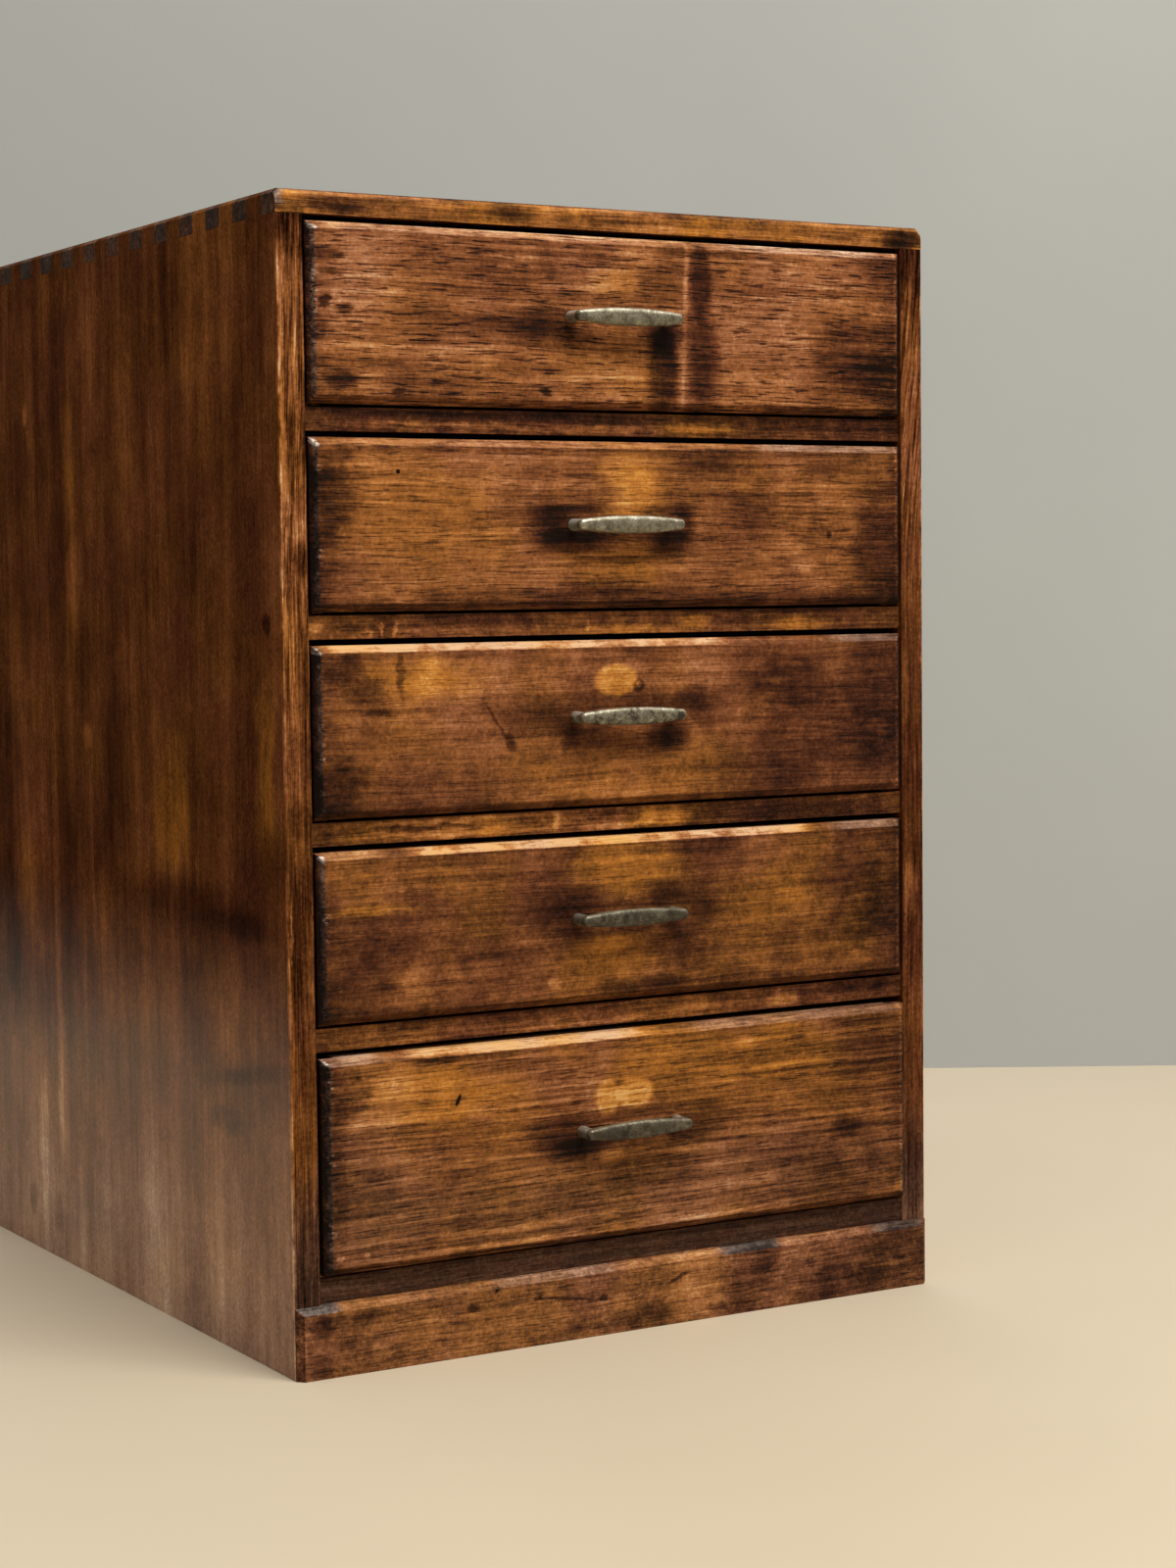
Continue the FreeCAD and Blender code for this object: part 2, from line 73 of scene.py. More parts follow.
# -------- nodes
class Nodes:
    """A node tree. Each method adds nodes to it and gives the output socket of the last one."""

    def __init__(self, node_tree):
        self.nodes = node_tree.nodes
        self.links = node_tree.links

    def put(self, socket, value):
        if isinstance(value, bpy.types.NodeSocket):
            self.links.new(value, socket)
        elif value is not None:
            socket.default_value = value

    def math(self, kind, first, second=None, clamp=False):
        node = self.nodes.new("ShaderNodeMath")
        node.operation = kind
        node.use_clamp = clamp
        self.put(node.inputs[0], first)
        self.put(node.inputs[1], second)
        return node.outputs[0]

    def total(self, parts):
        result = parts[0]
        for part in parts[1:]:
            result = self.math("ADD", result, part)
        return result

    def share(self, parts):
        """The total, kept between 0 and 1."""
        return self.math("ADD", self.total(parts), 0.0, clamp=True)

    def times(self, result, *factors):
        for factor in factors:
            result = self.math("MULTIPLY", result, factor)
        return result

    def vector(self, kind, first, second=None, third=None):
        node = self.nodes.new("ShaderNodeVectorMath")
        node.operation = kind
        for socket, value in zip(node.inputs, (first, second, third)):
            self.put(socket, value)
        return node.outputs["Value" if kind == "LENGTH" else "Vector"]

    def part(self, vector, axis):
        node = self.nodes.new("ShaderNodeSeparateXYZ")
        self.put(node.inputs[0], vector)
        return node.outputs[axis]

    def turned(self, vector, angles):
        node = self.nodes.new("ShaderNodeMapping")
        self.put(node.inputs["Vector"], vector)
        self.put(node.inputs["Rotation"], [math.radians(angle) for angle in angles])
        return node.outputs[0]

    def noise(self, vector, scale, detail=2.0, roughness=0.5, distortion=0.0, colour=False):
        node = self.nodes.new("ShaderNodeTexNoise")
        self.put(node.inputs["Vector"], vector)
        node.inputs["Scale"].default_value = scale
        node.inputs["Detail"].default_value = detail
        node.inputs["Roughness"].default_value = roughness
        node.inputs["Distortion"].default_value = distortion
        return node.outputs["Color" if colour else "Fac"]

    def stretched(self, vector, scales, **options):
        """Noise with its own scale on each axis."""
        return self.noise(self.vector("MULTIPLY", vector, scales), 1.0, **options)

    def between(self, value, low, high, to_low=0.0, to_high=1.0, smooth=True):
        """From to_low to to_high as the value goes from low to high, and level outside that."""
        node = self.nodes.new("ShaderNodeMapRange")
        node.interpolation_type = "SMOOTHSTEP" if smooth else "LINEAR"
        node.clamp = True
        for index, entry in enumerate((value, low, high, to_low, to_high)):
            self.put(node.inputs[index], entry)
        return node.outputs[0]

    def over(self, value, low, high, to_low=0.0, to_high=1.0):
        """As between, with low and high in mm."""
        return self.between(value, low * MM, high * MM, to_low, to_high)

    def strip(self, value, start, full, fades, gone):
        """1 from full to fades, falling to 0 at start and gone, all in mm."""
        return self.times(self.over(value, start, full), self.over(value, gone, fades))

    def away(self, value, place):
        """How far the value is from a place in mm."""
        return self.math("ABSOLUTE", self.math("SUBTRACT", value, place * MM))

    def swing(self, noise, reach, amount, middle=0.0):
        """From half the amount under the middle to half over it, as the noise goes by reach round 0.5."""
        half = amount / 2
        return self.between(noise, 0.5 - reach, 0.5 + reach, middle - half, middle + half, smooth=False)

    def ramp(self, value, stops):
        node = self.nodes.new("ShaderNodeValToRGB")
        self.put(node.inputs[0], value)
        line = node.color_ramp
        while len(line.elements) < len(stops):
            line.elements.new(0.5)
        for element, (position, colour) in zip(line.elements, stops):
            element.position = position
            element.color = srgb(*colour)
        return node.outputs[0]

    def mix(self, share, first, second):
        node = self.nodes.new("ShaderNodeMix")
        node.data_type = "RGBA"
        self.put(node.inputs["Factor"], share)
        self.put(node.inputs[6], first)
        self.put(node.inputs[7], second)
        return node.outputs[2]

    def sees_pale(self):
        """1 for the rays that see the pale surroundings: from the camera, off gloss and through glass."""
        light_path = self.nodes.new("ShaderNodeLightPath")
        result = light_path.outputs["Is Camera Ray"]
        for ray in ("Is Glossy Ray", "Is Transmission Ray"):
            result = self.math("MAXIMUM", result, light_path.outputs[ray])
        return result


class Finish(Nodes):
    """A material, with the place and the normal of each point of its piece."""

    def __init__(self, name):
        self.material = bpy.data.materials.new(name)
        self.material.use_nodes = True
        super().__init__(self.material.node_tree)
        self.nodes.clear()
        self.output = self.nodes.new("ShaderNodeOutputMaterial")
        self.shader = self.nodes.new("ShaderNodeBsdfPrincipled")
        self.links.new(self.shader.outputs[0], self.output.inputs["Surface"])
        coordinates = self.nodes.new("ShaderNodeTexCoord")
        self.flat = coordinates.outputs["Object"]
        self.normal = coordinates.outputs["Normal"]

    def give(self, name, value):
        self.put(self.shader.inputs[name], value)

    def faces(self, axis, span, amount=1.0):
        """0 to amount as the normal's part on the axis goes over the span."""
        return self.between(self.part(self.normal, axis), *span, 0.0, amount)

    def give_bump(self, height, distance):
        node = self.nodes.new("ShaderNodeBump")
        node.inputs["Distance"].default_value = distance
        self.put(node.inputs["Height"], height)
        self.give("Normal", node.outputs[0])

    def mark(self, vector, across, place, rise, long, tall, amount, soft=0.5, turn=0.0, square=False):
        """A stain, a worn spot, or painted shade round a pull: amount inside an ellipse or box, falling to 0
        over its soft edge. across is the axis that looks through the face. The centre's place and rise, and
        the half sizes, are in mm."""
        along = Y if across == X else X
        up = Y if across == Z else Z
        where, wide, angle = [0.0] * 3, [10.0] * 3, [0.0] * 3
        where[along], where[up] = place * MM, rise * MM
        wide[along], wide[up] = long * MM, tall * MM
        angle[across] = math.radians(turn)
        node = self.nodes.new("ShaderNodeMapping")
        node.vector_type = "TEXTURE"
        self.put(node.inputs["Vector"], vector)
        self.put(node.inputs["Location"], where)
        self.put(node.inputs["Rotation"], angle)
        self.put(node.inputs["Scale"], wide)
        if square:
            sides = self.vector("ABSOLUTE", node.outputs[0])
            far = self.math("MAXIMUM", self.part(sides, along), self.part(sides, up))
        else:
            far = self.vector("LENGTH", node.outputs[0])
        return self.between(far, 1.0 + soft, max(1.0 - soft, 0.0), 0.0, amount)


# -------- oak
SMALL_MARK = 7.0  # marks with a half size under this, in mm, are bent less
GRAIN_WAVE = 0.010  # how far slow waves move the grain sideways, in metres
ASKEW = (35.0, 25.0, 50.0)  # degrees, so that blotches and specks don't line up with the boards
PORE = (0.56, 0.68)
OUTER = (0.6, 0.2)  # a board's front and sides, and not its back, along Y
END_GRAIN = (0.80, 0.97)
SHINE = 0.07
COATED = (100.0, 200.0)  # the polish on a side board ends between these heights, in mm
COAT_FACE = (0.6, 0.9)
COAT_ROUGHNESS, COAT_IOR = 0.16, 1.6
BARE_IOR = 1.05  # keeps the bare wood above the polish free of haze


class Oak(Finish):
    """Oak whose grain runs along an axis, with the patterns that its tones are made of. across is the axis
    that looks through the face with marks on it."""

    def __init__(self, name, axis, across, seed, streak_size, thread_size):
        super().__init__(name)
        self.axis, self.across = axis, across
        self.moved = self.vector("ADD", self.flat, (seed, seed * 0.37, seed * 0.61))
        wave = self.grain(self.moved, 28.0, 5.0, colour=True)
        bent = self.vector("MULTIPLY_ADD", wave, self.by_axis(GRAIN_WAVE, 0.0), self.moved)
        self.streaks = self.grain(bent, streak_size, 4.0, detail=4.0, roughness=0.6)
        self.threads = self.grain(bent, *thread_size, roughness=0.6)
        self.pore = self.between(self.grain(bent, 1200.0, 90.0, detail=1.0, distortion=0.3), *PORE)
        self.patches = self.noise(self.moved, 14.0, detail=3.0, roughness=0.55)
        askew = self.turned(self.moved, ASKEW)
        self.blotch = self.noise(askew, 60.0, detail=4.0, roughness=0.6)
        self.specks = self.noise(askew, 90.0, detail=4.0, roughness=0.85)
        self.dust = self.noise(askew, 600.0, roughness=0.7)

        # marks get ragged edges, drawn out along the grain, and the grain shows through them
        brushed = self.grain(self.moved, 260.0, 110.0, detail=3.0, roughness=0.65, colour=True)
        swept = self.grain(self.moved, 60.0, 34.0, colour=True)
        self.calm_place = self.warped(self.flat, brushed, 1.6, 1.6)
        self.fine_place = self.warped(self.flat, brushed, 5.0, 9.0)
        self.ragged_place = self.warped(self.warped(self.flat, brushed, 8.0, 14.0), swept, 16.0, 26.0)
        lines = self.grain(self.moved, 420.0, 75.0, detail=3.0, roughness=0.6)
        self.texture = self.between(lines, 0.36, 0.64, 0.75, 1.25, smooth=False)
        self.outer = self.faces(Y, OUTER)

    def by_axis(self, cross, length):
        """One value for the two axes across the grain, and one for the axis along it."""
        values = [cross] * 3
        values[self.axis] = length
        return values

    def grain(self, vector, cross, length, **options):
        """Noise with one scale across the grain and one along it."""
        return self.stretched(vector, self.by_axis(cross, length), **options)

    def warped(self, vector, noise, cross, length):
        """The place, moved by up to half of cross and length, in mm."""
        reach = self.by_axis(cross * MM, length * MM)
        vector = self.vector("MULTIPLY_ADD", noise, reach, vector)
        return self.vector("SUBTRACT", vector, tuple(value / 2 for value in reach))

    def blotchy(self, low, high, to_low, to_high):
        return self.between(self.blotch, low, high, to_low, to_high)

    def spots(self, entries):
        """Small marks on the front, as sockets to add up."""
        return [self.mark(self.fine_place, Y, *entry) for entry in entries]

    def stains(self, entries):
        """All marks of a list, painted shade among them, as sockets to add up; a board's back has none."""
        whole, broken = [], []
        for entry in entries:
            spot, options = entry[:5], dict(*entry[5:])
            if options.pop("calm", False):
                whole.append(self.mark(self.calm_place, self.across, *spot, **options))
            elif min(entry[2:4]) < SMALL_MARK:
                whole.append(self.mark(self.fine_place, self.across, *spot, **options))
            else:
                broken.append(self.mark(self.ragged_place, self.across, *spot, **options))
        parts = whole + ([self.times(self.total(broken), self.texture)] if broken else [])
        return [self.times(self.total(parts), self.outer)] if parts and self.across == Y else parts

    def polish(self, coat):
        """Old polish on the marked face, which is left only near the floor."""
        left = self.over(self.part(self.flat, Z), *COATED, coat, 0.0)
        facing = self.math("ABSOLUTE", self.part(self.normal, self.across))
        self.give("Coat Weight", self.times(left, self.between(facing, *COAT_FACE)))
        self.give("Coat Roughness", COAT_ROUGHNESS)
        self.give("Coat IOR", COAT_IOR)
        self.give("IOR", BARE_IOR)


def oak(name, axis, across=Y, seed=0.0, marks=(), golds=(), greys=(), extra=None, base=0.5, broad=0.22,
        streak=0.36, fine=0.34, grit=0.20, dusty=0.16, pores=0.10, end_dark=0.14, gold=0.35, rough=0.46,
        bump=0.4 * MM, coat=0.0, streak_size=300.0, thread_size=(800.0, 18.0)):
    """Stained oak. base is its tone, and broad, streak, fine, grit and dusty are how much the tone varies,
    from wide patches to dust. gold is how golden it gets in places. marks change the tone, golds and greys
    the hue, and extra(tree) gives more of the three in a dictionary."""
    tree = Oak(name, axis, across, seed, streak_size, thread_size)
    more = extra(tree) if extra else {}
    ends = tree.math("ABSOLUTE", tree.part(tree.normal, axis))
    tones = [tree.swing(tree.patches, 0.25, broad, base),
             tree.swing(tree.streaks, 0.25, streak),
             tree.swing(tree.threads, 0.25, fine),
             tree.swing(tree.specks, 0.20, grit),
             tree.swing(tree.dust, 0.20, dusty),
             tree.times(tree.pore, -pores),
             tree.between(ends, *END_GRAIN, 0.0, -end_dark)]
    tone = tree.total(tones + tree.stains(marks) + more.get("tones", []))
    warm = tree.between(tree.noise(tree.moved, 22.0), 0.35, 0.65, 0.0, gold)
    hues = [warm] + tree.stains(golds) + more.get("golds", [])
    hue = tree.share(hues) if len(hues) > 1 else warm
    colour = tree.mix(hue, tree.ramp(tone, RED_OAK), tree.ramp(tone, GOLD_OAK))
    greyed = tree.stains(greys) + more.get("greys", [])
    if greyed:
        colour = tree.mix(tree.share(greyed), colour, tree.ramp(tone, GREY_OAK))
    tree.give("Base Color", colour)
    uneven = tree.math("ADD", tree.blotch, tree.times(tree.pore, 0.3))
    tree.give("Roughness", tree.between(uneven, 0.3, 0.9, rough - 0.08, rough + 0.16, smooth=False))
    tree.give("Specular IOR Level", SHINE)
    tree.give_bump(tree.total([tree.times(tree.streaks, 0.5), tree.times(tree.threads, 0.45),
                               tree.times(tree.pore, -0.55)]), bump)
    if coat:
        tree.polish(coat)
    return tree.material


# -------- marks
# A mark is (x, z, half length, half height, change of tone or hue, options), in mm. On a side board it has y
# for x. Its options say how soft its edge is, how many degrees it is turned, whether it is square, and
# whether its outline is calm, not ragged.
def calm(soft=0.5, **more):
    return {"soft": soft, "calm": True, **more}


CALM = calm()
CRISP = calm(0.2)
SMEAR = calm(0.8)
PULL_SHADE = calm(0.85)
# for the soft dark rings round the pulls, which are painted shade of the pulls
SHARP = {"soft": 0.25}
VAGUE = {"soft": 0.9}

# -------- the drawer fronts, numbered from the top
# the lowest and highest z of each, in mm
FRONT_SPANS = {1: (410.8, 486.0), 2: (323.8, 396.8), 3: (236.8, 309.8), 4: (149.8, 222.8), 5: (43.4, 135.8)}
FRONT_FINISHES = {
    1: {"base": 0.60, "streak": 0.32, "fine": 0.32, "pores": 0.36, "gold": 0.36},
    2: {"base": 0.56, "streak": 0.28, "fine": 0.28, "pores": 0.18, "gold": 0.40},
    3: {"base": 0.54, "streak": 0.19, "fine": 0.17, "pores": 0.06, "gold": 0.52, "grit": 0.27},
    4: {"base": 0.52, "streak": 0.20, "fine": 0.19, "pores": 0.06, "gold": 0.72, "grit": 0.28},
    5: {"base": 0.55, "streak": 0.22, "fine": 0.42, "pores": 0.18, "gold": 0.78, "thread_size": (520.0, 10.0),
        "greys": [(0, 62, 170, 20, 0.10, VAGUE), (-132, 84, 24, 40, 0.08, VAGUE)]},
}
FRONT_SEED = 1.7  # how far the wood's patterns shift from one front to the next
# The soft dark rings round each pull are painted shade of the pull.
FRONT_MARKS = {
    1: [(-126, 452, 24, 30, 0.07), (-98, 447, 12, 12, -0.02), (-46, 463, 24, 8, -0.14, VAGUE),
        (-68, 474, 8, 8, -0.08), (-38, 475, 8, 8, -0.04), (-14, 478, 5, 5, -0.10), (-52, 447, 18, 5, -0.16),
        (-36, 446, 13, 8, -0.28, PULL_SHADE), (-22, 442, 10, 4, -0.20, PULL_SHADE), (22, 444, 9, 6, -0.52, PULL_SHADE),
        (21, 427, 8, 17, -0.36, calm(0.4)), (22, 467, 7, 14, -0.05), (41, 468, 5.5, 16, -0.31, calm(0.4)),
        (41, 433, 8, 22, -0.30, calm(0.6)), (32.4, 449, 1.1, 50, 0.10, calm(0.7, turn=2.2)),
        (31.5, 428, 3.6, 18, 0.16, VAGUE), (33.2, 470, 1.4, 14, 0.12, calm(0.7, turn=2.2)),
        (-5, 466, 13, 6, 0.18, calm(0.25, square=True)), (10, 478, 12, 5, 0.20),
        (142, 476, 9, 7, -0.24, VAGUE), (126, 438, 24, 14, -0.28), (140, 424, 14, 12, -0.24),
        (-145, 472, 8, 2.4, -0.28), (-144, 453, 2.8, 3.4, -0.38, SHARP), (-135, 450, 4, 2, -0.32),
        (-137, 421, 7, 4.4, -0.42), (-141, 465, 5, 1.4, -0.24), (-146, 441, 3, 4, -0.22),
        (-110, 416, 3.4, 1.6, -0.28), (-40, 417.5, 2.6, 1.6, -0.40), (-96, 419, 20, 6, -0.14),
        (-78, 433, 18, 10, 0.17), (-20, 427, 44, 10, 0.06), (-20, 414, 90, 2, 0.10), (80, 462, 34, 16, 0.04)],
    2: [(-100, 362, 42, 28, 0.07), (-141, 378, 9, 15, -0.24), (-146, 352, 6, 26, -0.14),
        (-111.5, 382.5, 0.9, 0.9, -1.2, calm(0.25)), (-38, 361, 9, 9, -0.40, PULL_SHADE),
        (-24, 354, 14, 4.6, -0.38, PULL_SHADE), (0, 356, 30, 2.4, -0.30, PULL_SHADE), (22, 352, 9, 5.5, -0.38, PULL_SHADE),
        (31, 360, 5, 8, -0.30, PULL_SHADE), (-22, 367, 14, 2.6, -0.26, PULL_SHADE), (20, 367, 14, 2.6, -0.26, PULL_SHADE),
        (5, 378, 14, 14, 0.22), (-5, 343, 32, 6, 0.10), (0, 345, 20, 1.6, -0.18), (-20, 328, 130, 4.5, -0.13),
        (46, 388, 18, 6, -0.18), (60, 387, 5, 3, 0.14), (88, 386, 9, 4, 0.10), (110, 375, 9, 4, 0.12),
        (88, 350, 7, 4, 0.14), (96, 342, 6, 3, 0.14), (106, 333, 6, 3, 0.14), (140, 354, 14, 26, -0.20),
        (132, 332, 22, 8, -0.14), (68, 366, 16, 8, -0.14), (90, 360, 24, 12, -0.05),
        (110, 356, 1.4, 1.4, -0.30, CALM), (-112, 331, 8, 4, 0.14), (-12, 333, 20, 4, -0.10),
        (-70, 352, 14, 12, -0.05), (-62, 378, 8, 8, 0.06)],
    3: [(-98, 295, 13, 8, 0.15, VAGUE), (-70, 295, 16, 7, 0.08, VAGUE), (-112, 297, 1.8, 9, -0.26),
        (-5, 292, 11, 7, 0.29, CRISP), (35, 296, 28, 6, 0.10, VAGUE), (-138, 299, 8, 6, -0.22),
        (-128, 289, 8, 6, -0.20), (-122, 281, 6, 1.6, -0.20, VAGUE), (-142, 250, 12, 13, -0.24),
        (-59, 266, 2.4, 4, -0.30, calm(turn=-30)), (-66, 276, 0.8, 9, -0.16, calm(turn=-34)),
        (-42, 278, 13, 7, -0.17, PULL_SHADE), (-34, 272, 9, 7, -0.16, PULL_SHADE), (-20, 269, 12, 4, -0.22, PULL_SHADE),
        (0, 282, 34, 3, -0.11, PULL_SHADE), (20, 282, 16, 3.4, -0.16, PULL_SHADE), (22, 267, 9, 6, -0.42, PULL_SHADE),
        (38, 278, 9, 8, -0.22, PULL_SHADE), (38, 286, 13, 5, -0.04, PULL_SHADE), (-2, 263, 30, 5, -0.13, VAGUE),
        (88, 290, 22, 12, -0.31, VAGUE), (104, 264, 36, 18, -0.22, VAGUE), (138, 274, 18, 34, -0.28, VAGUE),
        (111, 297, 8, 5, 0.05), (101, 286, 0.7, 16, 0.06, CALM), (92, 245, 16, 4, -0.16),
        (6.5, 289.5, 2.9, 3.1, -0.28, calm(0.3)), (6.6, 289.9, 1.4, 1.5, 0.24, calm(0.3)),
        (-88, 281, 40, 1.8, -0.08), (70, 246, 24, 8, -0.10, VAGUE), (-20, 242, 50, 3, 0.06),
        (-90, 250, 30, 8, -0.05)],
    4: [(-127, 185, 24, 13, -0.15, VAGUE), (-138, 163, 16, 12, -0.16, VAGUE), (-118, 205, 8, 7, 0.10),
        (-107, 166, 6, 7, 0.14), (-126, 197.5, 22, 1.6, 0.18), (-6, 209, 16, 8, 0.12, VAGUE),
        (18, 208, 10, 5, 0.12, VAGUE), (-36, 190, 13, 8, -0.26, PULL_SHADE), (-24, 197, 9, 4, -0.22, PULL_SHADE),
        (20, 196, 10, 4.4, -0.28, PULL_SHADE), (38, 189, 9, 8, -0.14, PULL_SHADE), (0, 181, 26, 2.2, -0.14, PULL_SHADE),
        (-28, 179, 9, 4, -0.24, PULL_SHADE), (30, 178, 9, 5, -0.14, PULL_SHADE), (0, 192, 30, 2, -0.12, PULL_SHADE),
        (-12, 175, 18, 3, 0.18), (4, 163, 13, 6, 0.12), (-38, 160, 3, 3, 0.24), (8, 156, 26, 3.5, -0.20),
        (68, 186, 6, 8, 0.05), (70, 162, 8, 5, 0.08), (92, 192, 7, 4, 0.05), (120, 205, 10, 4, 0.08),
        (124, 158, 8, 5, 0.12), (136, 188, 24, 32, -0.31, VAGUE), (44, 217, 16, 4, -0.18),
        (-60, 175, 30, 3, -0.06), (28, 168, 8, 8, -0.10), (82, 178, 26, 20, -0.06, VAGUE)],
    5: [(-110, 122, 30, 6, 0.20, VAGUE), (-110, 107, 32, 3.4, 0.15, VAGUE), (-100, 114, 40, 6, 0.03),
        (-88, 113, 0.8, 2.4, -0.9, calm(turn=25)), (-13, 107, 6, 8, 0.21, CRISP),
        (1, 108, 9.5, 6.6, 0.34, CRISP), (-147, 95, 5, 34, -0.17, VAGUE), (-141, 120, 7, 9, -0.28),
        (-134, 74, 14, 14, -0.12, VAGUE), (-36, 92, 14, 8, -0.32, PULL_SHADE), (-26, 86, 12, 4, -0.32, PULL_SHADE),
        (0, 99, 34, 2.6, -0.16, PULL_SHADE), (0, 86.5, 36, 2.4, -0.20, PULL_SHADE), (38, 91, 12, 8, -0.24, PULL_SHADE),
        (8, 73, 24, 6, -0.16), (56, 96, 20, 8, -0.10, VAGUE), (-11, 81, 7, 3.4, 0.20),
        (117, 81, 8.5, 4.4, -0.29, CALM), (120, 65, 7, 5, 0.10), (147, 50, 3, 3, 0.26),
        (-145.5, 51, 1.8, 1.5, 0.34, CALM), (-133, 51, 1.6, 1.3, 0.20, CALM),
        (132, 114, 22, 16, -0.17, VAGUE), (50, 122, 34, 8, 0.02), (60, 125, 6, 4, 0.14),
        (-98, 132, 14, 1.6, -0.26), (-20, 47.6, 100, 1.4, 0.26), (112, 62, 36, 16, -0.15, VAGUE),
        (-120, 64, 30, 14, -0.09, VAGUE), (-20, 66, 50, 8, -0.06, VAGUE), (-100, 90, 36, 8, 0.07, VAGUE)],
}
FRONT_GOLDS = {
    1: [(-5, 466, 13, 6, 0.3, CALM), (-20, 427, 60, 12, 0.3), (40, 445, 12, 40, -0.3)],
    2: [(5, 378, 15, 14, 0.8, VAGUE), (-100, 365, 45, 24, 0.3), (-5, 343, 34, 9, 0.5),
        (90, 380, 40, 10, 0.2)],
    3: [(-96, 295, 24, 8, 0.9, VAGUE), (-5, 292, 11, 7, 1.0, CRISP), (0, 252, 60, 10, 0.3),
        (110, 265, 50, 40, -0.4)],
    4: [(-6, 209, 20, 9, 0.6, VAGUE), (18, 208, 11, 7, 0.6, VAGUE), (-126, 197.5, 22, 3, 0.7),
        (-8, 173, 26, 12, 0.7, VAGUE), (90, 180, 50, 30, 0.3)],
    5: [(-108, 115, 40, 13, 0.8, VAGUE), (-13, 107, 6, 8, 0.9, CALM), (1, 108, 10, 7, 1.0, CALM),
        (50, 122, 60, 12, 0.5, VAGUE), (0, 60, 140, 14, 0.2), (-11, 81, 7, 4, 0.5)],
}
# worn places along the upper bevel, painted lighter as a highlight too: x and half length in mm, change of
# tone, greyness
BEVEL_WEAR_AND_HIGHLIGHT = {
    1: [(0, 150, 0.16, 0.10), (95, 40, 0.05, 0.2)],
    2: [(-40, 100, 0.16, 0.05), (112, 38, 0.12, 0.35)],
    3: [(-30, 78, 0.38, 0.0), (-128, 16, 0.57, 0.0), (132, 16, 0.18, 0.45)],
    4: [(-5, 100, 0.52, 0.0), (-137, 11, 0.32, 0.15), (132, 16, 0.32, 0.4)],
    5: [(-50, 56, 0.47, 0.0), (90, 54, 0.10, 0.25), (-138, 10, 0.30, 0.3)],
}
WEAR_AND_HIGHLIGHT_FADES = (12, 6)  # a worn place ends between so much beyond its half length and within it, mm
BEVEL_GOLD = 0.15
# a bevel counts as turned to an axis, or against it, as the normal's part on it goes over these
TOWARDS, AGAINST = (0.35, 0.65), (-0.35, -0.65)
# places across a front, in mm from the cabinet's middle
# painted sheen on the left bevel
LEFT_BEVEL_PAINTED_SHEEN = (-151.6, -148.8)  # the left bevel brightens from its outer edge to its arris
DARK_ENDS = (139.0, 151.5)
LEFT_ARRIS = (-151.0, -149.6, -148.6, -145.2)
RIGHT_ARRIS = (146.8, 148.0, 149.2, 150.0)
DARK_EDGES = (9, 3)  # mm in from a front's upper and lower edge
CHIP_X, CHIP_DOWN = -150.4, 2.0  # the chipped mitre, the second below the front's top
CHIP_SHAPE = {"soft": 0.6, "turn": 45}
NICK_SCALES = (300.0, 300.0, 700.0)


def bevel_wear_and_highlight(tree, number, across, ridge):
    """The light worn places on a front's upper bevel, which are partly a painted highlight."""
    rough = tree.times(tree.texture, tree.blotchy(0.35, 0.62, 0.70, 1.25))
    tones, greys, golds = [], [], []
    for place, half, amount, grey in BEVEL_WEAR_AND_HIGHLIGHT[number]:
        ends = tree.over(tree.away(across, place), half + WEAR_AND_HIGHLIGHT_FADES[0], half - WEAR_AND_HIGHLIGHT_FADES[1])
        near = tree.times(ends, ridge)
        tones.append(tree.times(near, amount, rough))
        golds.append(tree.times(near, BEVEL_GOLD * (1.0 - grey)))
        if grey:
            greys.append(tree.times(near, grey))
    return tones, greys, golds


def arris_wear(tree, across):
    """Rubbed nicks along the left arris, and a fainter line along the right one."""
    nicks = tree.stretched(tree.flat, NICK_SCALES, detail=3.0, roughness=0.8)
    rubbed = tree.times(tree.strip(across, *LEFT_ARRIS), tree.between(nicks, 0.50, 0.68))
    worn = tree.times(rubbed, tree.blotchy(0.42, 0.60, 0.15, 1.0))
    right = tree.times(tree.strip(across, *RIGHT_ARRIS), 0.26, tree.between(nicks, 0.42, 0.62))
    return [tree.times(worn, 0.36), right], [tree.times(worn, 0.5)]


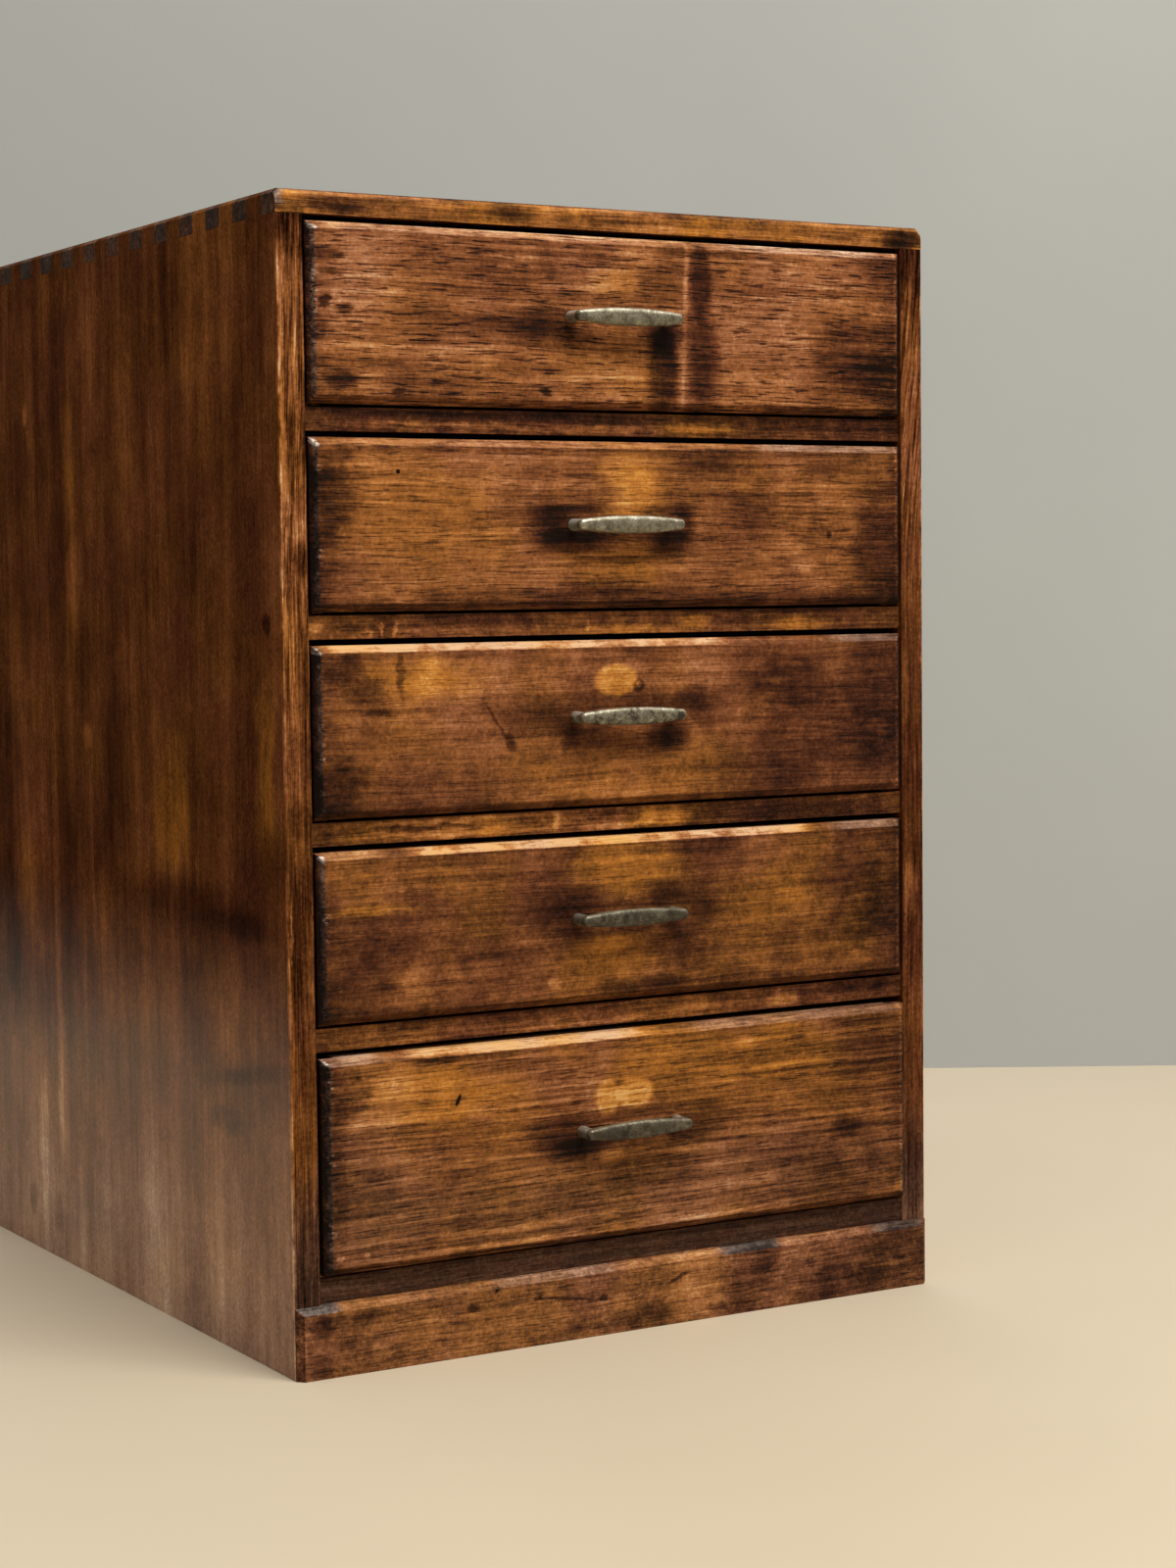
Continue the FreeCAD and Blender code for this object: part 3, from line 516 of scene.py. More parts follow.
def front_wear_and_painted_light(number):
    """Worn light upper bevel with a painted highlight, dark ends, upper and lower edges, the chipped mitre,
    and worn arrises; the bevels facing down, left and right get painted shade, and the left one a painted
    sheen.
    """
    low, high = FRONT_SPANS[number]
    middle, half = (low + high) / 2, (high - low) / 2
    chip = (CHIP_X, high - CHIP_DOWN)

    def extra(tree):
        across, height = tree.part(tree.flat, X), tree.part(tree.flat, Z)
        ridge, left, right = tree.faces(Z, TOWARDS), tree.faces(X, AGAINST), tree.faces(X, TOWARDS)
        tones, greys, golds = bevel_wear_and_highlight(tree, number, across, ridge)
        painted_sheen = tree.times(left, tree.over(across, *LEFT_BEVEL_PAINTED_SHEEN))
        ends = tree.over(tree.math("ABSOLUTE", across), *DARK_ENDS)
        edges = tree.over(tree.away(height, middle), half - DARK_EDGES[0], half - DARK_EDGES[1])
        # painted light: the upper bevel is lighter as a highlight, the bevels facing down, left and right are
        # darker as shade, and the left bevel has a painted sheen towards its arris
        tones += [tree.times(ridge, tree.blotchy(0.35, 0.66, 0.0, 0.08)),
                  tree.faces(Z, AGAINST, -0.12),
                  tree.times(left, -0.34),
                  tree.times(painted_sheen, 0.20),
                  tree.times(right, -0.06),
                  tree.times(ends, tree.blotchy(0.3, 0.7, -0.05, -0.24)),
                  tree.times(edges, tree.blotchy(0.35, 0.7, 0.0, -0.14)),
                  tree.mark(tree.fine_place, Y, *chip, 1.7, 1.0, 0.5, **CHIP_SHAPE)]
        greys += [tree.times(painted_sheen, 0.7),
                  tree.times(right, tree.blotchy(0.4, 0.6, 0.0, 0.6)),
                  tree.mark(tree.fine_place, Y, *chip, 2.0, 1.3, 0.8, **CHIP_SHAPE)]
        nick_tones, nick_greys = arris_wear(tree, across)
        return {"tones": tones + nick_tones, "greys": greys + nick_greys, "golds": golds}
    return extra


def front_oak(number):
    return oak("front_oak_%d" % number, X, seed=FRONT_SEED * number, marks=FRONT_MARKS[number],
               golds=FRONT_GOLDS[number], extra=front_wear_and_painted_light(number), **FRONT_FINISHES[number])


# -------- the side boards, -1 on the left and 1 on the right
SIDE_FINISH = {"across": X, "base": 0.405, "streak": 0.18, "fine": 0.08, "grit": 0.12, "pores": 0.06,
               "gold": 0.45, "rough": 0.34, "bump": 0.15 * MM, "coat": 0.62, "streak_size": 90.0}
BOARD_STREAKS = (30.0, 30.0, 3.0)  # scales of a side board's broad streaks
LEFT_MARKS = [
    (55, 400, 5, 30, 0.10), (50, 342, 8, 26, 0.13), (38, 265, 5, 6, 0.14), (84, 180, 4, 110, 0.12),
    (82, 85, 7, 40, 0.16), (150, 160, 8, 45, -0.14), (124, 370, 14, 62, -0.08), (145, 240, 10, 40, -0.08),
    (-85, 193, 62, 11, -0.15, SMEAR), (-170, 212, 20, 16, -0.13, SMEAR), (-140, 189, 32, 5, -0.12, SMEAR),
    (-140, 124, 36, 3.4, -0.15, calm(0.8, turn=-9)), (-120, 102, 16, 6, -0.12), (-65, 235, 19, 30, 0.11),
    (-166, 255, 9, 36, 0.12), (-170, 319, 3.6, 4, -0.25), (108, 60, 8, 36, 0.16), (128, 25, 5, 9, -0.16),
    (92, 22, 6, 9, -0.16), (115, 422, 3, 5, 0.22), (25, 440, 3, 22, 0.08), (10, 340, 10, 24, 0.06),
    (-160, 398, 10, 30, 0.07), (-20, 230, 40, 60, -0.06), (-130, 150, 34, 22, 0.10), (-95, 496, 2, 2, 0.6),
    (-30, 140, 60, 20, 0.06), (130, 200, 14, 60, 0.05)
]
LEFT_GOLDS = [(-65, 235, 20, 32, 0.7), (-166, 255, 10, 40, 0.7), (55, 370, 10, 60, 0.3)]
# The stile is a side board's front edge. Here are how far its grain leans to the right at its head in mm, the
# heights between which it gets vivid with how vivid it is below them, and its changes of tone and hue.
STILES = {
    -1: {"lean": 3, "vivid": (240, 360, 0.55), "foot": -0.29, "head": -0.22, "lift": 0.04, "gold": 0.2},
    1: {"lean": 14, "vivid": (330, 390, 0.45), "foot": -0.32, "head": -0.15, "lift": 0.06, "gold": -0.1},
}
STILE_MARKS = {
    -1: [(-163.5, 450, 1.3, 42, 0.20), (-163.4, 380, 1.5, 38, 0.24), (-163.6, 322, 1.2, 20, 0.18),
         (-160, 465, 3, 12, 0.08), (-157.4, 430, 1.2, 20, 0.10), (-156.6, 352, 1.6, 12, 0.20),
         (-153.8, 345, 0.7, 22, 0.18), (-157, 396, 3, 12, -0.16), (-156, 346, 2.6, 7, -0.40),
         (-158, 236, 6, 8, -0.20), (-158, 190, 8, 30, -0.15), (-158, 100, 8, 24, 0.05),
         (-155.4, 290, 2.6, 60, -0.10), (-154, 175, 0.8, 30, 0.12), (-163.6, 190, 0.6, 12, 0.26)],
    1: [(159, 400, 5, 70, 0.10), (158, 190, 3.4, 12, 0.22), (155.2, 180, 0.8, 34, 0.16),
        (159, 50, 6, 24, -0.10), (160, 236, 5, 10, -0.04), (158, 310, 4, 16, -0.04),
        (163.6, 340, 1, 40, 0.12)],
}
STILE_FACE = (-0.5, -0.8)
STILE_LINES, STILE_CRACKS = (620.0, 1.0, 22.0), (1300.0, 1.0, 46.0)
# heights in mm over which each thing grows from nothing
LEAN, HEAD, FOOT = (330, 500), (462, 486), (140, 50)
# the second and third make a side board lighter and greyer towards the floor: a painted reflection of the
# floor, with wear
DULL_FOOT, FLOOR_REFLECTION_AND_WEAR, FLOOR_REFLECTION_HAZE = (100, 40), (170, 10), (150, 10)
ARRIS_OUT, ARRIS_FORWARD = (163.6, 164.8), (-183.5, -185.8)  # places of the worn arris on X and Y, in mm


def side_wear_and_painted_reflection(sign):
    """The front edge of a side board is worn and streaky; its head and foot are dark. Its lower part is
    painted lighter and greyer, a painted reflection of the floor with wear.
    """
    stile = STILES[sign]

    def extra(tree):
        forward = tree.faces(Y, STILE_FACE)
        across, height = tree.part(tree.flat, X), tree.part(tree.flat, Z)
        leaned = tree.nodes.new("ShaderNodeCombineXYZ")
        lean = tree.over(height, *LEAN, 0.0, stile["lean"] * MM)
        tree.put(leaned.inputs[X], tree.math("SUBTRACT", across, lean))
        tree.put(leaned.inputs[Z], height)
        lines = tree.stretched(leaned.outputs[0], STILE_LINES, detail=4.0, roughness=0.75, distortion=0.3)
        cracks = tree.stretched(leaned.outputs[0], STILE_CRACKS, roughness=0.6, distortion=0.2)
        vivid = tree.over(height, *stile["vivid"], 1.0)
        front = tree.spots(STILE_MARKS[sign])
        front += [tree.times(tree.between(lines, 0.32, 0.68, -0.38, 0.34, smooth=False), vivid),
                  tree.times(tree.between(cracks, 0.56, 0.66, 0.0, -0.28), vivid),
                  tree.over(height, *FOOT, 0.0, stile["foot"]),
                  tree.over(height, *HEAD, 0.0, stile["head"]),
                  stile["lift"]]
        out = tree.times(across, float(sign))
        arris = tree.times(tree.over(out, *ARRIS_OUT), tree.over(tree.part(tree.flat, Y), *ARRIS_FORWARD))
        bands = tree.stretched(tree.flat, BOARD_STREAKS, detail=4.0, roughness=0.7, distortion=0.4)
        tones = [tree.times(forward, tree.total(front)),
                 tree.times(arris, tree.blotchy(0.38, 0.62, 0.0, 0.30)),
                 tree.swing(bands, 0.20, 0.26),
                 # painted floor reflection with wear, lighter towards the floor
                 tree.over(height, *FLOOR_REFLECTION_AND_WEAR, 0.0, 0.33)]
        greys = [tree.times(forward, tree.over(height, *DULL_FOOT, 0.0, 0.35)),
                 tree.times(tree.over(height, *FLOOR_REFLECTION_HAZE, 0.0, 0.30), tree.math("SUBTRACT", 1.0, forward))]
        return {"tones": tones, "greys": greys, "golds": [tree.times(forward, stile["gold"])]}
    return extra


# -------- the top board
TOP_MARKS = [
    (-139, 493, 12, 3.6, -0.29), (-112, 495, 14, 2.6, -0.22), (-88, 497, 26, 1.2, -0.14),
    (-145, 490.5, 10, 1.6, 0.10), (-54, 495, 10, 4, -0.20), (-30, 491.5, 14, 2, 0.12),
    (-34, 495, 10, 2, 0.14), (52, 497, 34, 1.0, -0.22), (-5, 493, 16, 3, -0.08), (20, 490, 30, 1.5, 0.05),
    (110, 493, 30, 4, 0.05), (5, 494, 40, 4, -0.05), (153, 492.5, 10, 4.5, -0.42), (-158, 491, 5, 4, -0.20),
    (-163.5, 494, 2.2, 4, -0.16)
]
TOP_CORNER = (-164, 495, 2.6, 4, 0.7)
TOP_FACE, TOP_MARKED, TOP_LEAN = (-0.45, -0.8), (-0.15, -0.5), (-0.2, -0.5)  # parts of the normal on Y
# TOP_RISE and TOP_LEAN pick out the rounding that gets the painted highlight
TOP_RISE = (0.25, 0.6)  # and on Z


def top_wear_and_highlight(tree):
    """The front edge of the top is worn to gold with dark stains near its ends, and its rounding that faces
    up is painted lighter as a highlight.
    """
    forward = tree.faces(Y, TOP_FACE, 0.20)
    # painted highlight on the rounding that faces up and forward
    rounding_highlight = tree.times(tree.faces(Z, TOP_RISE), tree.faces(Y, TOP_LEAN, 0.16))
    stained = tree.times(tree.total(tree.spots(TOP_MARKS)), tree.faces(Y, TOP_MARKED))
    corner = tree.times(tree.mark(tree.fine_place, Y, *TOP_CORNER), tree.faces(Y, TOP_MARKED))
    return {"tones": [forward, rounding_highlight, stained], "golds": [tree.faces(Y, TOP_FACE, 0.6)], "greys": [corner]}


# -------- the plinth, rails and floor board
# grey patches on the plinth's upper bevel: x and half length in mm, greyness, change of tone per greyness
PLINTH_PATCHES = [(-156, 10, 0.9, -0.22), (64, 15, 0.8, -0.41), (148, 14, 0.6, -0.26), (-40, 30, 0.2, 0.0)]
PATCH_FADE = 4
PLINTH_MARKS = [
    (-154, 22, 5, 5, -0.24), (-154, 6, 6, 5, -0.20), (-138, 23, 14, 4, -0.16), (-163.5, 16, 1.2, 12, 0.14),
    (-82, 21, 3, 2, -0.28), (-70, 27.6, 1.2, 0.9, -0.4), (-48, 21, 2, 1.4, -0.3), (-15, 16.5, 2, 1.4, -0.35),
    (-32, 18.6, 18, 0.7, -0.24, calm(turn=9)), (-8, 12, 14, 6, 0.12), (66, 27, 14, 3, -0.12, VAGUE),
    (74, 22, 10, 8, -0.10), (60, 12, 16, 11, -0.18), (8, 6, 16, 6, -0.20), (36, 12, 14, 9, 0.14),
    (86, 16, 9, 9, 0.12), (96, 19, 2.6, 2.6, -0.16), (140, 16, 28, 16, -0.24, VAGUE), (110, 6, 26, 7, -0.18),
    (95, 14, 20, 12, -0.04), (-60, 10, 40, 8, 0.05), (-110, 14, 20, 8, 0.05),
    (24, 21, 6, 1.0, -0.3, calm(turn=-25))
]
PLINTH_GREYS = [(0, 20, 400, 60, 0.08, CALM)]


def plinth_wear_and_painted_light(tree):
    """Upper bevel painted lighter as a highlight, with worn grey patches, and the left bevel painted darker
    as shade.
    """
    ridge = tree.faces(Z, TOWARDS)
    across = tree.part(tree.flat, X)
    # painted highlight on the upper bevel and painted shade on the left one
    tones, greys = [tree.times(ridge, 0.15), tree.faces(X, AGAINST, -0.24)], []
    for place, half, grey, change in PLINTH_PATCHES:
        ends = tree.over(tree.away(across, place), half + PATCH_FADE, half - PATCH_FADE, 0.0, grey)
        greys.append(tree.times(ends, ridge))
        if change:
            tones.append(tree.times(greys[-1], change))
    return {"tones": tones, "greys": greys}


# The highest rail is darker, most along its upper edge: painted shade under the drawer above it.
RAIL_MARKS = [
    (0, 404, 200, 9, -0.07, VAGUE), (0, 230, 200, 9, 0.05, VAGUE), (0, 143, 200, 9, 0.06, VAGUE),
    (-60, 402, 95, 1.6, 0.18), (40, 404, 20, 3, 0.21), (-60, 406, 80, 2.6, -0.12), (90, 402.6, 60, 1.4, 0.09),
    (-118, 316, 1.2, 3, 0.30), (-112, 316, 1.2, 3, 0.30), (-124, 315, 1, 2, 0.22), (-90, 315.5, 20, 2, 0.15),
    (-17, 316, 1, 3, 0.22), (5, 314.5, 25, 1.6, 0.21), (40, 317, 8, 3, 0.24), (97, 315.5, 18, 3, 0.24),
    (-149, 317, 4, 2, 0.30), (-95, 233.6, 34, 1.2, 0.21), (-85, 228.4, 42, 2, 0.24),
    (-106, 231, 34, 1.7, -0.18), (-45, 231, 9, 3, -0.15), (-34, 230.5, 1.6, 4, 0.24),
    (-5, 232.5, 16, 1.6, -0.18), (14, 231, 4, 4, 0.30), (28, 229.5, 8, 3.5, 0.27), (0, 227.5, 20, 1.2, 0.21),
    (85, 231, 48, 4.5, -0.18), (-60, 143, 80, 3, 0.09), (-20, 140, 44, 1.2, 0.18), (85, 142, 9, 3, 0.22),
    (-120, 139.6, 30, 1, 0.18), (130, 145, 22, 3, -0.15)
]
RAIL_GOLDS = [
    (-85, 230, 60, 6, 0.6), (20, 230, 20, 6, 0.8), (97, 316, 20, 4, 0.7), (40, 317, 8, 4, 0.7),
    (5, 314.5, 25, 3, 0.5), (40, 404, 20, 4, 0.5), (85, 142, 9, 3, 0.6)
]
FLOOR_GREYS = [(0, 38, 400, 20, 0.32)]

# -------- metal
# of each drawer's pull: how much lighter it is, and how deep its stains are
PULL_TONES = {1: (0.20, 0.16), 2: (0.22, 0.14), 3: (0.16, 0.34), 4: (-0.12, 0.10), 5: (-0.08, 0.14)}
SCRATCH_SCALES = (120.0, 900.0, 2400.0)
WORN_EDGE = (0.51, 0.60)  # pointiness of the worn arrises


def pewter(name, shift, spotted, back):
    """Worn nickel with a greenish brown patina that thins to bright metal along the arrises. Its upper faces
    are painted lighter and its lower ones darker, as light and shade, and its legs are painted lighter
    against the bar's shade. back is where the legs begin behind the bar."""
    tree = Finish(name)
    large = tree.noise(tree.flat, 210.0, detail=4.0, roughness=0.65)
    small = tree.noise(tree.flat, 1300.0, detail=3.0, roughness=0.6)
    blots = tree.noise(tree.flat, 170.0, detail=3.0, roughness=0.6)
    scratch = tree.stretched(tree.flat, SCRATCH_SCALES)
    geometry = tree.nodes.new("ShaderNodeNewGeometry")
    tone = tree.total([tree.between(large, 0.3, 0.7, 0.20 + shift, 0.62 + shift, smooth=False),
                       tree.swing(small, 0.20, 0.24),
                       tree.swing(scratch, 0.20, 0.10),
                       tree.between(geometry.outputs["Pointiness"], *WORN_EDGE, 0.0, 0.30),
                       # painted light and shade: lighter on top, darker underneath
                       tree.between(tree.part(tree.normal, Z), -0.2, 0.8, -0.10, 0.24),
                       # painted light: the legs are lighter, against the shade of the bar
                       tree.between(tree.part(tree.flat, Y), back - 2.2 * MM, back - 0.2 * MM, 0.0, 0.28),
                       tree.between(blots, 0.50, 0.60, 0.0, -spotted)])
    tree.give("Base Color", tree.ramp(tone, PEWTER))
    tree.give("Metallic", tree.between(tone, 0.2, 0.8, 0.35, 0.75))
    tree.give("Roughness", tree.between(large, 0.3, 0.7, 0.52, 0.34, smooth=False))
    dents = tree.total([tree.times(large, 0.5), tree.times(small, 0.3), tree.times(scratch, 0.2)])
    tree.give_bump(dents, 0.25 * MM)
    return tree.material


def steel(name):
    """Dull old screws with rust spots."""
    tree = Finish(name)
    spots = tree.noise(tree.flat, 900.0, detail=3.0, roughness=0.6)
    tree.give("Base Color", tree.ramp(spots, STEEL))
    tree.give("Roughness", tree.between(spots, 0.3, 0.7, 0.62, 0.38, smooth=False))
    tree.give("Metallic", 0.85)
    tree.give_bump(spots, 0.2 * MM)
    return tree.material


def add_object(name, data):
    piece = bpy.data.objects.new(name, data)
    bpy.context.collection.objects.link(piece)
    return piece


RING = 28  # points round the bar and the legs
STATIONS = 41  # rings along the bar
BAR_TURN = 0.985  # of half a turn, by which the rings get closer towards the bar's ends
BAR_DEEP = 2.2 * MM  # half of the bar's thickness
END_SHARE = 0.55  # half height at the bar's ends, of that at its middle
BLUNT_LENGTH, BLUNT_POWER = 2.0 * MM, 2.4
TIP_TALL, TIP_DEEP = 0.25, 0.35  # the least of the blunt end's height and thickness
SQUARENESS = 0.72  # 1 gives the bar an oval section, less a squarer one
LEG_INSET = 2.7 * MM
LEG_FLAT = 0.96  # a leg's height, of its width
# share of a leg's length from the drawer front, radius in mm
LEG_PROFILE = ((0.0, 2.8), (0.2, 2.75), (0.5, 2.6), (0.75, 2.6), (1.0, 2.6))
VOXEL = 0.38 * MM


def turns():
    """The cosine and sine of each point of a ring."""
    angles = [2 * math.pi * index / RING for index in range(RING)]
    return [(math.cos(angle), math.sin(angle)) for angle in angles]


def squarish(value):
    return math.copysign(abs(value) ** SQUARENESS, value)


def bar_rings(middle, half, bar_y):
    """A boat-shaped bar with a pillowed face and blunt ends."""
    rings = []
    for step in range(STATIONS):
        reach = math.sin((step / (STATIONS - 1) - 0.5) * math.pi * BAR_TURN)
        from_end = (1.0 - abs(reach)) * half.x
        blunt = math.sqrt(max(0.0, 1.0 - max(0.0, 1.0 - from_end / BLUNT_LENGTH) ** BLUNT_POWER))
        tall = half.z * (END_SHARE + (1.0 - END_SHARE) * (1.0 - reach ** 2)) * max(blunt, TIP_TALL)
        deep = BAR_DEEP * max(blunt, TIP_DEEP)
        x = middle.x + reach * half.x
        rings.append([(x, bar_y + squarish(cosine) * deep, middle.z + squarish(sine) * tall)
                      for cosine, sine in turns()])
    return rings


def leg_rings(x, z, foot_y, bar_y):
    rings = []
    for share, radius in LEG_PROFILE:
        y = foot_y + (bar_y - foot_y) * share
        rings.append([(x + radius * MM * cosine, y, z + radius * MM * LEG_FLAT * sine)
                      for cosine, sine in turns()])
    return rings


def add_rings(mesh, rings):
    """Joins rings of points into a closed tube."""
    rows = [[mesh.verts.new(point) for point in ring] for ring in rings]
    for one, two in zip(rows, rows[1:]):
        for index in range(len(one)):
            after = (index + 1) % len(one)
            mesh.faces.new((one[index], one[after], two[after], two[index]))
    mesh.faces.new(rows[0][::-1])
    mesh.faces.new(rows[-1])


def make_pull(number, material):
    """A cast pull: a bar on two legs, which get a little thicker at the drawer front."""
    node = "drawer_%d_pull" % number
    low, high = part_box(node)
    middle, half = (low + high) / 2, (high - low) / 2
    bar_y = low.y + BAR_DEEP
    mesh = bmesh.new()
    add_rings(mesh, bar_rings(middle, half, bar_y))
    for side in (-1, 1):
        add_rings(mesh, leg_rings(middle.x + side * (half.x - LEG_INSET), middle.z, high.y, bar_y))
    bmesh.ops.recalc_face_normals(mesh, faces=mesh.faces)
    data = bpy.data.meshes.new("cast_pull_%d" % number)
    mesh.to_mesh(data)
    mesh.free()
    pull = add_object("cast_pull_%d" % number, data)
    fuse = pull.modifiers.new("Fuse", "REMESH")
    fuse.mode = "VOXEL"
    fuse.voxel_size = VOXEL
    fuse.use_smooth_shade = True
    smooth = pull.modifiers.new("Smooth", "SMOOTH")
    smooth.factor = 0.5
    smooth.iterations = 5
    data.materials.append(material)
    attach(pull, "drawer_%d" % number)
    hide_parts(node)


def make_pulls():
    for number, (shift, spotted) in PULL_TONES.items():
        bar_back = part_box("drawer_%d_pull" % number)[0].y + 2 * BAR_DEEP
        make_pull(number, pewter("pull_metal_%d" % number, shift, spotted, bar_back))


# -------- finishes on the CAD nodes
FRONT_ARRIS, BOARD_ARRIS = 0.5 * MM, 0.35 * MM
ARRIS_STEPS = 2
ARRIS_ANGLE = math.radians(25)
WELD_REACH = 0.02 * MM
ROUNDED = ("drawer_", "rail", "plinth", "left_side", "right_side", "floor_board")


def place_on(name, material):
    data = NODES[name].data
    data.materials.clear()
    data.materials.append(material)
    for face in data.polygons:
        face.material_index = 0


def dress():
    """Gives every CAD node its wood or metal."""
    for number in FRONT_SPANS:
        place_on("drawer_%d_front" % number, front_oak(number))
    place_on("left_side_board", oak("case_oak_left", Z, seed=9.1, marks=LEFT_MARKS, golds=LEFT_GOLDS,
                                    extra=side_wear_and_painted_reflection(-1), **SIDE_FINISH))
    place_on("right_side_board", oak("case_oak_right", Z, seed=4.3, extra=side_wear_and_painted_reflection(1), **SIDE_FINISH))
    place_on("top_board", oak("case_oak_top", X, seed=2.9, extra=top_wear_and_highlight, base=0.37, streak=0.44, grit=0.30,
                              end_dark=0.17, gold=0.7))
    place_on("plinth_board", oak("plinth_oak", X, seed=6.6, marks=PLINTH_MARKS, greys=PLINTH_GREYS,
                                 extra=plinth_wear_and_painted_light, base=0.54, broad=0.20, streak=0.16, fine=0.22, grit=0.32,
                                 dusty=0.20, pores=0.14, gold=0.8))
    rail = oak("rail_oak", X, seed=3.3, marks=RAIL_MARKS, golds=RAIL_GOLDS, base=0.37, broad=0.24,
               streak=0.30, fine=0.22, grit=0.36, gold=0.6)
    floor_wood = oak("rail_oak_floor", X, seed=5.5, greys=FLOOR_GREYS, base=0.34, broad=0.12, streak=0.16,
                     fine=0.14, grit=0.12, gold=0.6)
    inner = {"streak": 0.2, "rough": 0.6}
    inner_x = oak("inner_wood_x", X, seed=7.7, base=0.50, broad=0.14, gold=0.6, **inner)
    inner_y = oak("inner_wood_y", Y, across=X, seed=8.8, base=0.52, broad=0.14, gold=0.6, **inner)
    inner_z = oak("inner_wood_z", Z, seed=8.1, base=0.44, broad=0.2, gold=0.5, **inner)
    screw = steel("screw_steel")
    for name in NODES:
        if "screw" in name:
            place_on(name, screw)
        elif name.startswith("rail"):
            place_on(name, rail)
        elif name == "floor_board":
            place_on(name, floor_wood)
        elif name == "back_panel":
            place_on(name, inner_z)
        elif "runner" in name or name.endswith(("_left_side", "_right_side")):
            place_on(name, inner_y)
        elif name.endswith(("_back", "_bottom")):
            place_on(name, inner_x)


def soften(name, width):
    """Rounds a board's sharp arrises a little, with modifiers only."""
    piece = NODES[name]
    weld = piece.modifiers.new("Weld", "WELD")
    weld.merge_threshold = WELD_REACH
    bevel = piece.modifiers.new("Arris", "BEVEL")
    bevel.width = width
    bevel.segments = ARRIS_STEPS
    bevel.limit_method = "ANGLE"
    bevel.angle_limit = ARRIS_ANGLE
    bevel.harden_normals = False


def soften_boards():
    for name in NODES:
        if name.startswith(ROUNDED) and "pull" not in name:
            worn = name.endswith("_front") or name == "plinth_board"
            soften(name, FRONT_ARRIS if worn else BOARD_ARRIS)


# -------- camera
CAMERA_PLACE = Vector((-0.68554, -1.31465, 0.33393))
CAMERA_YAW, CAMERA_PITCH, CAMERA_ROLL = math.radians(-30.5838), math.radians(3.8191), math.radians(-0.6326)
CAMERA_FOCUS = 3037.95  # in pixels of the frame
FRAME_TALL = 1600.0  # pixels
SENSOR = 36.0
VIEW = Vector((-math.sin(CAMERA_YAW) * math.cos(CAMERA_PITCH), math.cos(CAMERA_YAW) * math.cos(CAMERA_PITCH),
               -math.sin(CAMERA_PITCH)))


def make_camera():
    right = Vector((math.cos(CAMERA_YAW), math.sin(CAMERA_YAW), 0))
    up = right.cross(VIEW)
    cosine, sine = math.cos(CAMERA_ROLL), math.sin(CAMERA_ROLL)
    right, up = right * cosine + up * sine, up * cosine - right * sine
    data = bpy.data.cameras.new("camera")
    data.sensor_fit = "VERTICAL"
    data.sensor_width = data.sensor_height = SENSOR
    data.lens = SENSOR * CAMERA_FOCUS / FRAME_TALL
    camera = add_object("camera", data)
    turned = Matrix((right, up, -VIEW)).transposed().to_4x4()
    camera.matrix_world = Matrix.Translation(CAMERA_PLACE) @ turned
    bpy.context.scene.camera = camera


# -------- stage and light, in metres
FLOOR_HALF = 4.0
BACKDROP_AWAY = 2.03  # from the camera
BACKDROP_HALF, BACKDROP_TALL = 3.0, 2.4
PALE_LEVEL = 0.40  # the surroundings, as the camera and reflections see them
SKY_HEIGHTS, SKY_LEVELS = (0.05, 0.75), (0.02, 0.65)
SKY_COLOUR = (1.0, 0.97, 0.93, 1.0)
LAMPS = {
    "key": {"place": (0.20, -1.35, 2.1), "target": (0, -0.15, 0.25), "size": (1.5, 1.0), "power": 50.0,
            "colour": (1.0, 0.96, 0.90)},
    "back": {"place": (0.5, 2.3, 1.9), "target": (0.0, 0.1, 0.25), "size": (1.8, 1.8), "power": 12.0,
             "colour": (1.0, 0.98, 0.95)},
}


def pale(name, colour, rough):
    """A pale studio surface with a faint mottle."""
    tree = Finish(name)
    lighter = tuple(min(255, value + MOTTLE) for value in colour)
    cloud = tree.noise(tree.flat, 3.0, detail=3.0)
    tree.give("Base Color", tree.ramp(cloud, [(0.3, colour), (0.7, lighter)]))
    tree.give("Roughness", rough)
    return tree


def add_plane(name, points, tree):
    mesh = bpy.data.meshes.new(name)
    mesh.from_pydata(points, [], [(0, 1, 2, 3)])
    mesh.materials.append(tree.material)
    return add_object(name, mesh)


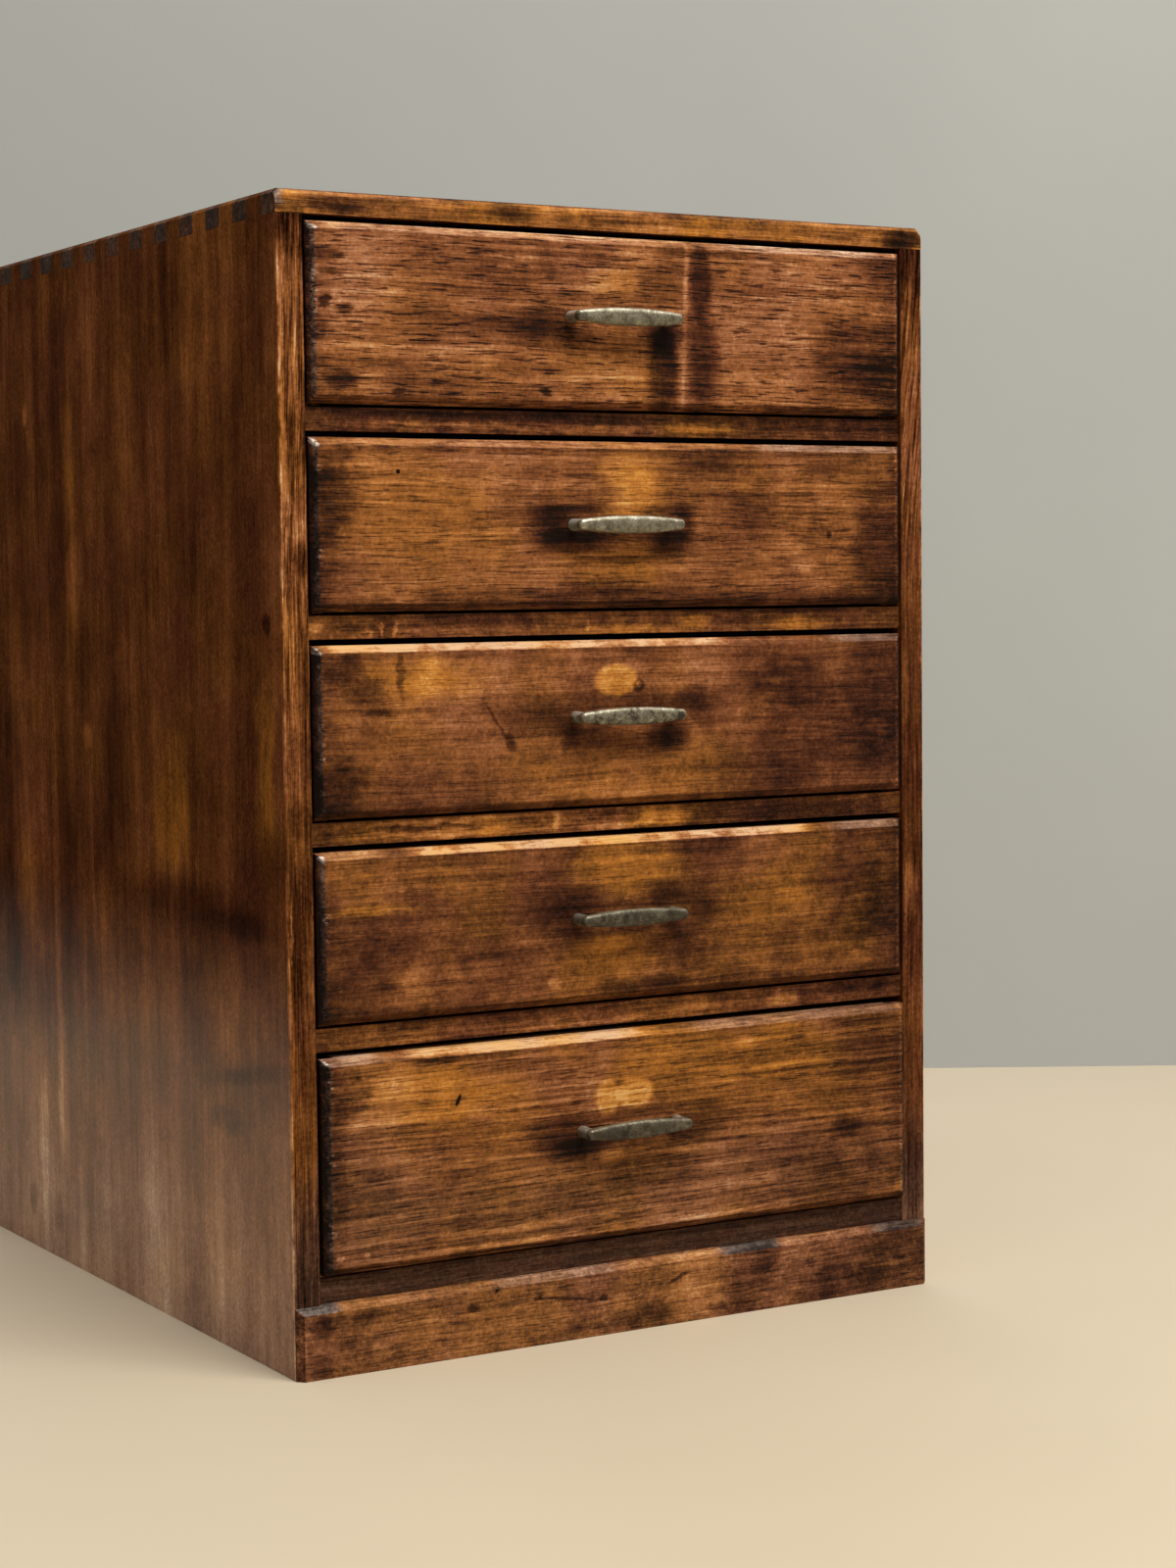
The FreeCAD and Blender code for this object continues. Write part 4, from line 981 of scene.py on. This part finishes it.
def make_stage():
    """A floor, and a backdrop that only the camera and reflections see, from its front."""
    far = FLOOR_HALF
    floor = add_plane("floor", [(-far, -far, 0), (far, -far, 0), (far, far, 0), (-far, far, 0)],
                      pale("pale_floor", FLOOR_COLOUR, 0.6))

    level = Vector((VIEW.x, VIEW.y, 0)).normalized()
    across = Vector((level.y, -level.x, 0)) * BACKDROP_HALF
    foot = Vector((CAMERA_PLACE.x, CAMERA_PLACE.y, 0)) + level * BACKDROP_AWAY
    head = foot + Vector((0, 0, BACKDROP_TALL))
    tree = pale("pale_backdrop", BACKDROP_COLOUR, 0.9)
    geometry = tree.nodes.new("ShaderNodeNewGeometry")
    clear = tree.nodes.new("ShaderNodeBsdfTransparent")
    choose = tree.nodes.new("ShaderNodeMixShader")
    unseen = tree.math("SUBTRACT", 1.0, tree.sees_pale())
    tree.put(choose.inputs[0], tree.math("MAXIMUM", unseen, geometry.outputs["Backfacing"]))
    tree.put(choose.inputs[1], tree.shader.outputs[0])
    tree.put(choose.inputs[2], clear.outputs[0])
    tree.put(tree.output.inputs["Surface"], choose.outputs[0])
    backdrop = add_plane("backdrop", [foot - across, foot + across, head + across, head - across], tree)


def area_light(name, place, target, size, power, colour):
    lamp = bpy.data.lights.new(name, "AREA")
    lamp.shape = "RECTANGLE"
    lamp.size, lamp.size_y = size
    lamp.energy = power
    lamp.color = colour
    piece = add_object(name, lamp)
    piece.location = place
    piece.rotation_euler = (Vector(target) - Vector(place)).to_track_quat("-Z", "Y").to_euler()


def make_light():
    """Soft lamps, and a sky that gets lighter upwards; the surroundings that show are pale."""
    for name, lamp in LAMPS.items():
        area_light(name, **lamp)
    world = bpy.data.worlds.new("studio")
    world.use_nodes = True
    tree = Nodes(world.node_tree)
    place = tree.nodes.new("ShaderNodeTexCoord")
    sky = tree.between(tree.part(place.outputs["Generated"], Z), *SKY_HEIGHTS, *SKY_LEVELS)
    level = tree.nodes.new("ShaderNodeMix")
    tree.put(level.inputs[0], tree.sees_pale())
    tree.put(level.inputs[2], sky)
    tree.put(level.inputs[3], PALE_LEVEL)
    background = tree.nodes["Background"]
    tree.put(background.inputs["Strength"], level.outputs[0])
    tree.put(background.inputs["Color"], SKY_COLOUR)
    bpy.context.scene.world = world


# -------- the scene
make_camera()
dress()
make_pulls()
soften_boards()
make_stage()
make_light()
bpy.context.scene.view_settings.view_transform = "Standard"
